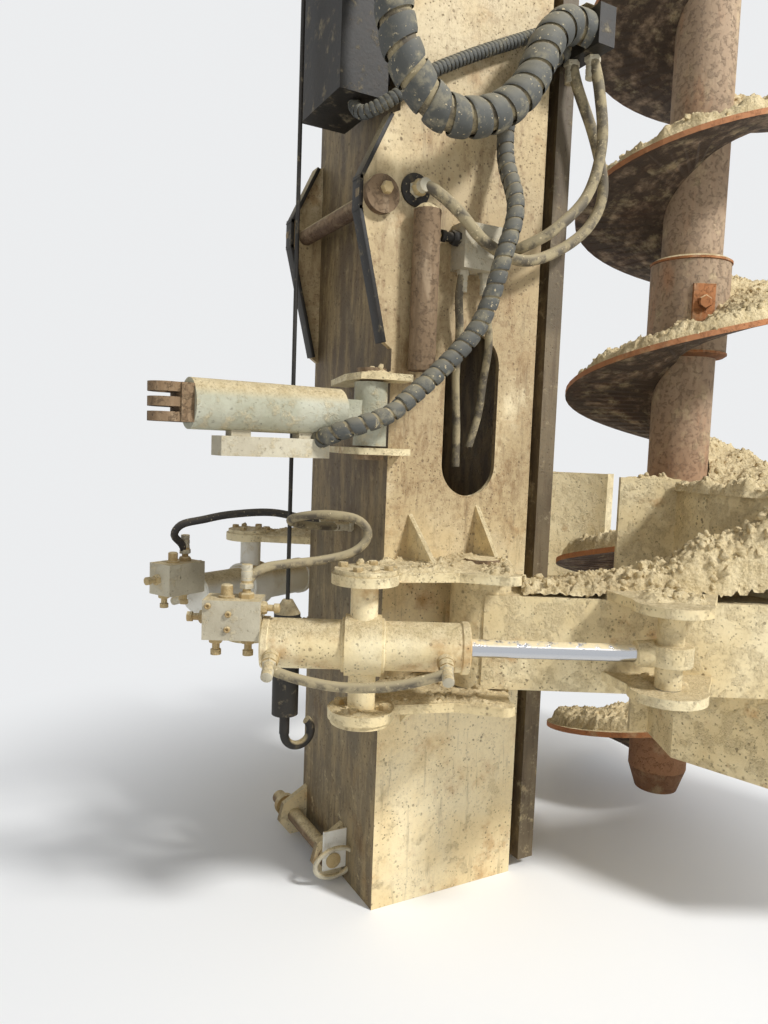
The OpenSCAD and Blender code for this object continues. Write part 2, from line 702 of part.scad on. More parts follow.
near() mast_side();  // mast_side_near
mast_side();  // mast_side_far
mast_back();
mast_front();
near() rail_side();  // rail_near
rail_side();  // rail_far
rail_web();
foot_plate();
top_flange();
near() bracket_top();  // bracket_top_near
bracket_top();  // bracket_top_far
near() bracket_low();  // bracket_low_near
bracket_low();  // bracket_low_far
near() hinge_pin();  // hinge_pin_near
hinge_pin();  // hinge_pin_far
lift_lugs();
lift_pin();
prop_lugs();
prop_pin();
corner_tube();
hose_console();
hose_clamp();
junction_block();
foot_lugs();
foot_pin();
rope_bracket();
hook_rope();
hook_weight();
hook();
hose_bundle();
hose_loop_long();
hose_loop_short();
hose_wrapped();
hose_conduit();
hose_hole_left();
hose_hole_right();
near() arm_frame() arm();  // arm_near
near() arm_frame() shell();  // shell_near
near() arm_frame() skirt();  // skirt_near
arm_frame() arm();  // arm_far
arm_frame() shell();  // shell_far
arm_frame() skirt();  // skirt_far
near() cylinder_frame() barrel();  // barrel_near
near() cylinder_frame() valve();  // valve_near
near() cylinder_frame() cylinder_hose();  // cylinder_hose_near
cylinder_frame() barrel();  // barrel_far
cylinder_frame() valve();  // valve_far
cylinder_frame() cylinder_hose();  // cylinder_hose_far
near() cylinder_frame() rod();  // rod_near
cylinder_frame() rod();  // rod_far
prop_barrel();
prop_fork();
prop_valve();
auger_stem();
auger_sleeve();
auger_flight();
auger_tip();
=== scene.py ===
"""Finish and detail the lower mast section of a rotary piling rig with its auger guide."""

from __future__ import annotations

import json
import logging
import math
import random
from bisect import bisect_right
from dataclasses import dataclass, field
from enum import Enum
from typing import Callable, Iterable, Optional, Sequence, Union

import bmesh
import bpy
from mathutils import Matrix, Quaternion, Vector, noise

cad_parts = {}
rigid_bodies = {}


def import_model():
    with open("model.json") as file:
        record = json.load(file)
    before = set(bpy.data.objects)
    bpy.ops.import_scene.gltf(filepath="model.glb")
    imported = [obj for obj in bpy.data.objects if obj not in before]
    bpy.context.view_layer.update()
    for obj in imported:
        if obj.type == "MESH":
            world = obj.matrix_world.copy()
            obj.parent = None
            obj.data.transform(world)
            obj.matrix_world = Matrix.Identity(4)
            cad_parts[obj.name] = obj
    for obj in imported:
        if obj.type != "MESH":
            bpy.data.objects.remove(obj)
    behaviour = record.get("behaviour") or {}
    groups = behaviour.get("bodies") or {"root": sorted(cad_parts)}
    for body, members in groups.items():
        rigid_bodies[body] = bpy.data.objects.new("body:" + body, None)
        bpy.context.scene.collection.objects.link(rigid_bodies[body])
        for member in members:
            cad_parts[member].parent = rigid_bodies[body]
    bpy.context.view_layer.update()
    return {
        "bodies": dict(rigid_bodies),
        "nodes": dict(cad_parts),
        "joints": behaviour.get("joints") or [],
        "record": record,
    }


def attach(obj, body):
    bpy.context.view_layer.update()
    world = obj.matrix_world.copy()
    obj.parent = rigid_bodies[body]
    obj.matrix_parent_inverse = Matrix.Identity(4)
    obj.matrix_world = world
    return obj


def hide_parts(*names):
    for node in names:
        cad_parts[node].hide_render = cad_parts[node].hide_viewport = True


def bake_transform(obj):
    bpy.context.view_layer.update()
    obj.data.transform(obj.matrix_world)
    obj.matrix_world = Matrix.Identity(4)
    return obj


LOG = logging.getLogger("mast")
MM = 0.001

Colour = tuple[float, float, float]
Point = Sequence[float]
Place = Callable[[float, float], Vector]


def srgb(red: int, green: int, blue: int) -> Colour:
    """Turn a colour as a screen shows it into the linear one that shaders use."""
    return tuple(((c / 255 + 0.055) / 1.055) ** 2.4 if c > 10 else c / 3294.6 for c in (red, green, blue))


def mm(*values: float) -> Vector:
    """Make a place in metres from millimetres."""
    return Vector(values) * MM


def facing_frame(spot: Vector, way: Point) -> Matrix:
    """Give a frame at a place with its Z axis along a direction."""
    turn = Vector((0, 0, 1)).rotation_difference(Vector(way).normalized())
    return Matrix.Translation(spot) @ turn.to_matrix().to_4x4()


def turned_frame(spot: Point, turn: float) -> Matrix:
    """Give a frame at a place in millimetres, turned about the Z axis by an angle in degrees."""
    return Matrix.Translation(mm(*spot)) @ Matrix.Rotation(math.radians(turn), 4, "Z")


def step_table(value: float, keys: Sequence[float], values: Sequence[float]) -> float:
    """Read a value between the rows of a table, with straight lines between them."""
    i = min(max(bisect_right(keys, value) - 1, 0), len(keys) - 2)
    share = min(max((value - keys[i]) / (keys[i + 1] - keys[i]), 0.0), 1.0)
    return values[i] + share * (values[i + 1] - values[i])


def depth_inside(x: float, y: float, outline: Sequence[Point]) -> float:
    """Give how far a place lies inside an outline, in the outline's unit; 0 outside it."""
    inside, nearest = False, math.inf
    for (x0, y0), (x1, y1) in zip(outline, [*outline[1:], outline[0]]):
        if (y0 > y) != (y1 > y) and x < (x1 - x0) * (y - y0) / (y1 - y0) + x0:
            inside = not inside
        dx, dy = x1 - x0, y1 - y0
        t = min(max(((x - x0) * dx + (y - y0) * dy) / (dx * dx + dy * dy), 0.0), 1.0)
        nearest = min(nearest, math.hypot(x - x0 - t * dx, y - y0 - t * dy))
    return nearest if inside else 0.0


def add_object(name: str, data: bpy.types.ID) -> bpy.types.Object:
    """Put a new object into the scene."""
    made = bpy.data.objects.new(name, data)
    bpy.context.scene.collection.objects.link(made)
    return made


# Places of the frame in millimetres and its turns at rest in degrees
AUGER_X = 1208.0
HINGE_Y = 387.0
GUIDE_TURN = 28.5
TRUNNION = (-400.0, 447.0)
TRUNNION_Z = 850.0
CYLINDER_TURN = 26.924
PORT_X = (-225, 205)
PORT_REACH = 85
PORT_WAY = Vector((0, math.sin(math.radians(70)), -math.cos(math.radians(70))))

FAR_ARM = turned_frame((0, HINGE_Y, 0), GUIDE_TURN)
FAR_SHELL = FAR_ARM @ Matrix.Translation(mm(AUGER_X, -HINGE_Y, 0))
FAR_CYLINDER = turned_frame((*TRUNNION, TRUNNION_Z), CYLINDER_TURN)


class Body(str, Enum):
    """The moving bodies of the frame."""

    MAST = "mast"
    GUIDE_NEAR = "guide_near"
    GUIDE_FAR = "guide_far"
    CYLINDER_NEAR = "cylinder_near"
    CYLINDER_FAR = "cylinder_far"
    PISTON_NEAR = "piston_near"
    PISTON_FAR = "piston_far"
    PROP = "prop"
    AUGER = "auger"


class Side(Enum):
    """The two sides of the mast; the near one is the far one's mirror image."""

    NEAR = -1
    FAR = 1

    @property
    def label(self) -> str:
        """Give the side's name as the nodes use it."""
        return self.name.lower()

    def body(self, kind: str) -> Body:
        """Give this side's body of a kind, such as guide or cylinder."""
        return Body(f"{kind}_{self.label}")


class Wire:
    """A shader socket that can be added, multiplied and shaped like a number."""

    def __init__(self, kit: NodeKit, socket: bpy.types.NodeSocket) -> None:
        self.kit = kit
        self.socket = socket

    def _maths(self, operation: str, first: Value, second: Value) -> Wire:
        """Add a Math node for two numbers or sockets."""
        return self.kit.node("Math", {"operation": operation}, {0: first, 1: second})

    def __add__(self, other: Value) -> Wire:
        """Add a number or socket."""
        return self._maths("ADD", self, other)

    def __rsub__(self, other: Value) -> Wire:
        """Take this socket away from a number."""
        return self._maths("SUBTRACT", other, self)

    def __mul__(self, other: Value) -> Wire:
        """Multiply by a number or socket."""
        return self._maths("MULTIPLY", self, other)

    __radd__ = __add__
    __rmul__ = __mul__

    def most(self, other: Value) -> Wire:
        """Take the larger of this and another value."""
        return self._maths("MAXIMUM", self, other)

    def span(self, low: float, high: float) -> Wire:
        """Rise smoothly from 0 at low to 1 at high."""
        return self.kit.node("MapRange", {"interpolation_type": "SMOOTHSTEP"},
                             {"Value": self, "From Min": low, "From Max": high})


Value = Union[Wire, float, int, Sequence[float]]


class NodeKit:
    """One material's node tree, with the few patterns that its finishes share."""

    SHIFT = 7.3

    def __init__(self, name: str) -> None:
        """Start an empty material."""
        self.material = bpy.data.materials.new(name)
        self.material.use_nodes = True
        self.tree = self.material.node_tree
        self.tree.nodes.clear()
        self.place = self.node("TexCoord", output="Object")
        self.shift = 0.0

    def node(self, kind: str, settings: Optional[dict] = None, inputs: Optional[dict] = None,
             output: Union[int, str] = 0) -> Wire:
        """Add a node, set it up and connect it.

        Args:
            kind: The node's type, without the word ShaderNode.
            settings: Properties to set first.
            inputs: Values or wires by socket name or number.
            output: The socket to hand back.

        Returns:
            The wire of the chosen output.
        """
        made = self.tree.nodes.new("ShaderNode" + kind)
        for key, value in (settings or {}).items():
            setattr(made, key, value)
        for key, value in (inputs or {}).items():
            socket = made.inputs[key]
            if isinstance(value, Wire):
                self.tree.links.new(value.socket, socket)
            elif socket.type == "RGBA":
                socket.default_value = (*value, 1.0)
            else:
                socket.default_value = value
        return Wire(self, made.outputs[output])

    def stretched(self, scale: Point) -> Wire:
        """Scale the place along each axis and shift it, so that patterns differ."""
        self.shift += self.SHIFT
        return self.node("Mapping", {}, {"Vector": self.place, "Scale": scale,
                                                   "Location": (self.shift, -self.shift, self.shift / 2)})

    def noise(self, size: float, detail: float = 4.0, stretch: Point = (1, 1, 1), rough: float = 0.55) -> Wire:
        """Make soft random patches.

        Args:
            size: How wide the patches are, in metres.
            detail: How many finer layers they hold.
            stretch: Factors along the axes; a small one draws the patches out.
            rough: The weight of the finer layers.

        Returns:
            A wire from 0 to 1.
        """
        return self.node("TexNoise", {}, {"Vector": self.stretched(stretch), "Scale": 1 / size,
                                                    "Detail": detail, "Roughness": rough})

    def grains(self, size: float) -> Wire:
        """Make the distance to the nearest of many scattered grains, 0 at a grain's middle."""
        return self.node("TexVoronoi", {}, {"Vector": self.stretched((1, 1, 1)), "Scale": 1 / size})

    def mix(self, share: Value, first: Value, second: Value) -> Wire:
        """Blend two colours by a share from 0 to 1."""
        return self.node("Mix", {"data_type": "RGBA"}, {0: share, 6: first, 7: second}, output=2)

    def facing(self, axis: str) -> Wire:
        """Say how far the surface faces along an axis, from -1 to 1."""
        normal = self.node("NewGeometry", output="Normal")
        return self.node("SeparateXYZ", {}, {0: normal}, output=axis)

    def height(self) -> Wire:
        """Give the height above the ground in metres."""
        return self.node("SeparateXYZ", {}, {0: self.place}, output="Z")

    def dots(self, size: float, share: float) -> Wire:
        """Scatter small round dots, more of them where a wide noise runs high.

        Args:
            size: The dots' spacing in metres.
            share: How many of them show, from 0 to 1.

        Returns:
            A wire that is 1 inside a dot.
        """
        spread = self.noise(0.16, 3.0).span(0.35, 0.68) * 0.7 + 0.3
        near = 1 - self.grains(size).span(0.14, 0.3)
        chosen = self.noise(size * 1.7, 2.0).span(0.66 - 0.24 * share, 0.7 - 0.24 * share)
        return near * chosen * spread

    def surface(self, colour: Value, rough: Value, relief: Wire, depth: float,
                metal: Value = 0.0) -> bpy.types.Material:
        """Close the material with its shader and output.

        Args:
            colour: The base colour.
            rough: The roughness.
            relief: The height pattern of the bump.
            depth: The height of the bump in metres.
            metal: The metallic share.

        Returns:
            The finished material.
        """
        bump = self.node("Bump", {}, {"Height": relief, "Distance": depth, "Strength": 1.0})
        shader = self.node("BsdfPrincipled", {}, {
            "Base Color": colour, "Roughness": rough, "Metallic": metal, "Normal": bump})
        output = self.tree.nodes.new("ShaderNodeOutputMaterial")
        self.tree.links.new(shader.socket, output.inputs["Surface"])
        return self.material


@dataclass(frozen=True)
class SoilTones:
    """Colours of the dried soil that lies on everything."""

    pale: Colour = srgb(228, 210, 168)
    middle: Colour = srgb(206, 186, 142)
    # The darkest tone is darker crumbs and painted shade in the soil's crevices
    dark: Colour = srgb(142, 120, 84)

    def colour(self, kit: NodeKit) -> Wire:
        """Mix the soil's tones in lumps and grains; the dark grains are darker crumbs and painted shade in the
        crevices.
        """
        lumps = kit.noise(0.03, 6.0, rough=0.7).span(0.35, 0.65)
        grains = kit.noise(0.007, 5.0, rough=0.75).span(0.5, 0.66)
        base = kit.mix(lumps, self.middle, self.pale)
        # Dark grains: darker crumbs and painted shade in the crevices
        return kit.mix(grains * 0.6, base, self.dark)


SOIL = SoilTones()


@dataclass(frozen=True)
class PaintFinish:
    """Old paint on steel: faded patches, ochre stains, rust specks, runs, dried soil, and painted shade with brown
    stain on faces turned to -X.

    The shares say how much of each there is, from 0 to 1.
    """

    name: str
    base: Colour
    faded: Colour
    stain: Colour = srgb(176, 126, 66)
    speck: Colour = srgb(70, 52, 34)
    stains: float = 0.45
    specks: float = 0.5
    runs: float = 0.4
    soil: float = 0.5
    splash: float = 0.0
    rear_shade_and_stain: float = 0.0
    grime: float = 0.0
    grimy: Colour = srgb(122, 92, 56)
    dusky: Colour = srgb(164, 142, 104)
    rear_dark: Colour = srgb(60, 43, 19)
    rear_shade_stain_light: Colour = srgb(128, 108, 70)

    def build(self) -> bpy.types.Material:
        """Build the material."""
        kit = NodeKit(self.name)
        patches = kit.noise(0.22, 5.0).span(0.38, 0.62)
        colour = kit.mix(patches, self.base, self.faded)
        blotch = kit.noise(0.15, 8.0, rough=0.66).span(0.66 - 0.26 * self.stains, 0.8 - 0.2 * self.stains)
        colour = kit.mix(blotch * 0.7, colour, self.stain)
        middle = kit.height().span(0.9, 1.3) * (1 - kit.height().span(1.9, 2.5) * 0.45) * self.grime
        broad = kit.noise(0.24, 5.0, stretch=(1, 1, 0.6)).span(0.3, 0.5)
        colour = kit.mix(broad * (middle * 0.95), colour, self.dusky)
        deep = kit.noise(0.045, 9.0, stretch=(1, 1, 0.35), rough=0.78).span(0.5, 0.64)
        colour = kit.mix(deep * (middle * 0.6 + 0.12 * self.stains), colour, self.grimy)
        runs = kit.noise(0.02, 6.0, stretch=(1, 1, 0.09), rough=0.68)
        runs = runs.span(0.66 - 0.2 * self.runs, 0.78 - 0.15 * self.runs)
        colour = kit.mix(runs * (0.6 * self.runs), colour, self.speck)
        dirt = kit.noise(0.014, 9.0, rough=0.82).span(0.47, 0.6) * kit.noise(0.3, 4.0).span(0.3, 0.62)
        colour = kit.mix(dirt * (middle * 0.45 + 0.22 * self.specks), colour, self.grimy)
        specks = kit.dots(0.011, self.specks).most(kit.dots(0.02, self.specks * 0.7))
        flecks = kit.noise(0.008, 4.0, rough=0.7).span(0.63, 0.67) * kit.noise(0.09, 4.0).span(0.42, 0.62)
        specks = specks.most(flecks) * self.specks
        colour = kit.mix(specks * 0.85, colour, self.speck)
        # Painted shade with brown stain: faces turned to -X are darkened to streaky brown, standing in for the shade
        # on the rear face
        shaded_back = (kit.facing("X") * -1).span(0.6, 0.9) * self.rear_shade_and_stain
        streaks = kit.noise(0.04, 7.0, stretch=(1, 1, 0.22), rough=0.7).span(0.4, 0.66)
        shade_and_stain_brown = kit.mix(streaks, self.rear_dark, self.rear_shade_stain_light)
        colour = kit.mix(shaded_back * (0.8 + kit.noise(0.2, 4.0) * 0.2), colour, kit.mix(specks, shade_and_stain_brown, self.speck))
        upward = kit.facing("Z").span(0.2, 0.75)
        dust = kit.noise(0.05, 7.0, rough=0.7).span(0.62 - 0.25 * self.soil, 0.75 - 0.2 * self.soil)
        low = 1 - kit.height().span(0.0, 0.9)
        cover = upward.most(dust * self.soil).most(low * dust * self.splash)
        colour = kit.mix(cover, colour, SOIL.colour(kit))
        crumbs = kit.noise(0.009, 5.0, rough=0.7)
        relief = blotch * 0.25 + specks * -0.4 + cover * crumbs * 1.5 + kit.noise(0.05) * 0.3 + crumbs * 0.25
        rough = 0.62 + cover * 0.3 + specks * 0.2
        return kit.surface(colour, rough, relief, 0.003 + 0.004 * self.soil)


@dataclass(frozen=True)
class RustFinish:
    """Bare steel with rust in several tones, worn places, soil on what faces up, and painted shade on what faces
    down.

    With an axis given in metres, the rim of the flight round it and its lower end wear bright.
    """

    name: str
    main: Colour
    bright: Colour
    under: Colour
    soil: float = 0.5
    glow: float = 0.6
    pale: Colour = srgb(190, 168, 138)
    axis_x: float = 0.0
    rim: tuple[float, float] = (0.43, 0.447)

    def build(self) -> bpy.types.Material:
        """Build the material."""
        kit = NodeKit(self.name)
        tone = kit.noise(0.2, 6.0, stretch=(1, 1, 0.25), rough=0.6).span(0.5, 0.68)
        colour = kit.mix(tone * self.glow, self.main, self.bright)
        pale = kit.noise(0.03, 5.0, stretch=(1, 1, 0.2), rough=0.6).span(0.5, 0.7)
        colour = kit.mix(pale * 0.4, colour, self.pale)
        flakes = kit.noise(0.02, 6.0, rough=0.72).span(0.52, 0.6)
        colour = kit.mix(flakes * 0.22, colour, self.under)
        if self.axis_x:
            out = kit.node("VectorMath", {"operation": "MULTIPLY_ADD"},
                           {0: kit.place, 1: (1, 1, 0), 2: (-self.axis_x, 0, 0)})
            far = kit.node("VectorMath", {"operation": "LENGTH"}, {0: out}, output="Value")
            colour = kit.mix((1 - kit.height().span(0.8, 1.7)) * 0.55, colour, self.bright)
            colour = kit.mix(far.span(*self.rim) * 0.8, colour, self.bright)
        # Painted shade: faces turned down are darkened towards a mottled underside colour, which also tints the
        # darker rust flakes
        below = (kit.facing("Z") * -1).span(0.1, 0.6)
        shade = kit.mix(kit.noise(0.07, 7.0, rough=0.65).span(0.46, 0.8), self.under, self.main)
        colour = kit.mix(below * 0.92, colour, shade)
        dust = kit.noise(0.09, 6.0, rough=0.65).span(0.62 - 0.22 * self.soil, 0.8 - 0.2 * self.soil)
        cover = kit.facing("Z").span(0.3, 0.8).most(dust * self.soil)
        colour = kit.mix(cover, colour, SOIL.colour(kit))
        relief = flakes * 0.5 + kit.noise(0.01, 4.0) * 0.6 + cover * kit.noise(0.008, 4.0)
        return kit.surface(colour, 0.82 + cover * 0.12, relief, 0.003)


@dataclass(frozen=True)
class RubberFinish:
    """Hose rubber or wrap, greyed by dust in long smears."""

    name: str
    base: Colour
    dusty: Colour
    dust: float = 0.6

    def build(self) -> bpy.types.Material:
        """Build the material."""
        kit = NodeKit(self.name)
        smears = kit.noise(0.05, 6.0, rough=0.65).span(0.66 - 0.3 * self.dust, 0.85 - 0.3 * self.dust)
        upward = kit.facing("Z").span(-0.2, 0.9) * self.dust
        colour = kit.mix((smears * 0.8).most(upward), self.base, self.dusty)
        spots = kit.noise(0.011, 4.0, rough=0.6).span(0.62, 0.7)
        colour = kit.mix(spots * 0.7, colour, SOIL.pale)
        relief = spots * 0.6 + kit.noise(0.006, 3.0) * 0.4
        return kit.surface(colour, 0.72 + smears * 0.2, relief, 0.0015)


@dataclass(frozen=True)
class CrustFinish:
    """Loose crumbly soil."""

    name: str
    wet: Colour = srgb(160, 138, 100)

    def build(self) -> bpy.types.Material:
        """Build the material."""
        kit = NodeKit(self.name)
        colour = SOIL.colour(kit)
        damp = kit.noise(0.2, 4.0).span(0.45, 0.7)
        colour = kit.mix(damp * 0.35, colour, self.wet)
        relief = kit.noise(0.012, 6.0, rough=0.75) + kit.grains(0.01) * 0.5
        return kit.surface(colour, 0.96, relief, 0.006)


@dataclass(frozen=True)
class ChromeFinish:
    """A polished rod with dust on its upper side."""

    name: str
    steel: Colour = srgb(196, 198, 202)

    def build(self) -> bpy.types.Material:
        """Build the material."""
        kit = NodeKit(self.name)
        cover = kit.facing("Z").span(0.35, 0.75) * kit.noise(0.02, 5.0, rough=0.7).span(0.35, 0.5)
        colour = kit.mix(cover, self.steel, SOIL.pale)
        return kit.surface(colour, cover * 0.7 + 0.16, cover * kit.noise(0.006), 0.002, 1 - cover)


class Finish(Enum):
    """Every finish on the object, with the slot in the record that it belongs to."""

    MAST = ("mast_paint", PaintFinish("MastPaint", srgb(230, 208, 160), srgb(238, 222, 182), stains=0.55, specks=0.8,
                                      runs=0.55, soil=0.25, splash=0.8, rear_shade_and_stain=0.95, grime=0.9))
    RAIL = ("mast_paint", PaintFinish("RailPaint", srgb(88, 76, 55), srgb(112, 98, 74), stains=0.25, specks=0.6,
                                      runs=0.9, soil=0.3, splash=0.6, rear_shade_and_stain=0.6, stain=srgb(140, 104, 62)))
    SOILED = ("soil_steel", PaintFinish("SoiledPaint", srgb(220, 200, 153), srgb(232, 216, 174), stains=0.3,
                                        specks=0.8, runs=0.2, soil=0.62))
    PROP = ("prop_paint", PaintFinish("PropPaint", srgb(164, 163, 140), srgb(184, 183, 163), stains=0.2,
                                      specks=0.6, runs=0.2, soil=0.5))
    BARREL = ("soil_steel", PaintFinish("BarrelPaint", srgb(228, 208, 160), srgb(240, 226, 186), stains=0.75,
                                        specks=0.8, runs=0.15, soil=0.3, stain=srgb(178, 132, 70)))
    WHITE = ("far_barrel", PaintFinish("WhitePaint", srgb(222, 219, 206), srgb(232, 230, 220), stains=0.05,
                                       specks=0.3, runs=0.1, soil=0.35))
    DARK = ("dark_steel", PaintFinish("DarkPaint", srgb(22, 20, 15), srgb(34, 30, 23), stains=0.1, specks=0.2,
                                      runs=0.2, soil=0.25, stain=srgb(92, 76, 52)))
    # Painted shade: the rail's web is painted near black for the shade in its groove, with grime runs and stains on
    # it
    GROOVE = ("dark_steel", PaintFinish("GrooveShadeAndGrime", srgb(48, 38, 26), srgb(66, 52, 36), stains=0.2, specks=0.2,
                                        runs=0.6, soil=0.05, stain=srgb(84, 62, 38)))
    VALVE = ("valve_steel", PaintFinish("ValveBlock", srgb(174, 165, 142), srgb(196, 188, 164), stains=0.1,
                                        specks=0.5, runs=0.1, soil=0.45))
    BRASS = ("valve_steel", PaintFinish("Fittings", srgb(164, 136, 88), srgb(186, 164, 118), stains=0.2,
                                        specks=0.4, runs=0.1, soil=0.45))
    PIN = ("rust_pin", RustFinish("RustyPin", srgb(124, 102, 76), srgb(138, 110, 78), srgb(86, 64, 44), soil=0.3))
    AUGER = ("auger_steel", RustFinish("AugerSteel", srgb(166, 142, 116), srgb(184, 118, 70), srgb(50, 36, 24),
                                       soil=0.4, glow=0.55, axis_x=AUGER_X * MM))
    RUSTY = ("auger_steel", RustFinish("AugerRim", srgb(170, 112, 66), srgb(184, 104, 50), srgb(108, 72, 44),
                                       soil=0.3, glow=1.0))
    RUBBER = ("hose_rubber", RubberFinish("HoseRubber", srgb(86, 78, 64), srgb(172, 158, 124), dust=0.9))
    BLACK = ("hose_rubber", RubberFinish("BlackRubber", srgb(36, 33, 29), srgb(104, 94, 76), dust=0.4))
    WRAP = ("hose_wrap", RubberFinish("SpiralWrap", srgb(76, 77, 73), srgb(142, 135, 113), dust=0.6))
    CHROME = ("rod_chrome", ChromeFinish("RodChrome"))
    CRUST = ("soil_steel", CrustFinish("SoilCrust"))

    @property
    def slot(self) -> str:
        """Give the record's slot."""
        return self.value[0]

    @property
    def material(self) -> bpy.types.Material:
        """Give the material, once it is built."""
        return bpy.data.materials[self.value[1].name]


class Route:
    """A smooth path through given points, walked by its length in metres."""

    STEPS = 8

    def __init__(self, points: Sequence[Point], leave: Point, enter: Point, frame: Matrix = Matrix()) -> None:
        """Smooth the points as the frame's own hoses are smoothed.

        Args:
            points: The route's points in millimetres.
            leave: The direction at its start.
            enter: The direction at its end.
            frame: The frame that the points are given in.
        """
        knots = [frame @ mm(*p) for p in points]
        leave, enter = frame.to_3x3() @ Vector(leave), frame.to_3x3() @ Vector(enter)
        last = len(knots) - 1
        self.spots = []
        for i in range(last):
            a, b, c, d = (knots[max(i - 1, 0)], knots[i], knots[i + 1], knots[min(i + 2, last)])
            for k in range(self.STEPS):
                t = k / self.STEPS
                self.spots.append(0.5 * (2 * b + (c - a) * t + (2 * a - 5 * b + 4 * c - d) * t * t
                                         + (3 * b - a - 3 * c + d) * t ** 3))
        self.spots.append(knots[last])
        # The length walked up to each spot
        self.marks = [0.0]
        for one, two in zip(self.spots, self.spots[1:]):
            self.marks.append(self.marks[-1] + (two - one).length)
        ways = [(two - one).normalized() for one, two in zip(self.spots, self.spots[2:])]
        ways = [leave.normalized(), *ways, enter.normalized()]
        # One turn carried on along the way, so that the path doesn't twist about itself
        self.turns = [Vector((0, 0, 1)).rotation_difference(ways[0])]
        for one, two in zip(ways, ways[1:]):
            self.turns.append(one.rotation_difference(two) @ self.turns[-1])

    @property
    def length(self) -> float:
        """Give the whole length."""
        return self.marks[-1]

    def at(self, distance: float) -> Matrix:
        """Give the frame at a distance along the route, its Z axis along the way."""
        i = min(max(bisect_right(self.marks, distance) - 1, 0), len(self.spots) - 2)
        share = (distance - self.marks[i]) / (self.marks[i + 1] - self.marks[i])
        spot = self.spots[i].lerp(self.spots[i + 1], share)
        turn = self.turns[i].slerp(self.turns[i + 1], min(max(share, 0.0), 1.0))
        return Matrix.Translation(spot) @ turn.to_matrix().to_4x4()


@dataclass(frozen=True)
class Bend:
    """Two bodies and two places in millimetres for a piece that lies between them; the piece is not bent and follows
    neither body.
    """

    first: Body
    second: Body
    start: Point
    end: Point


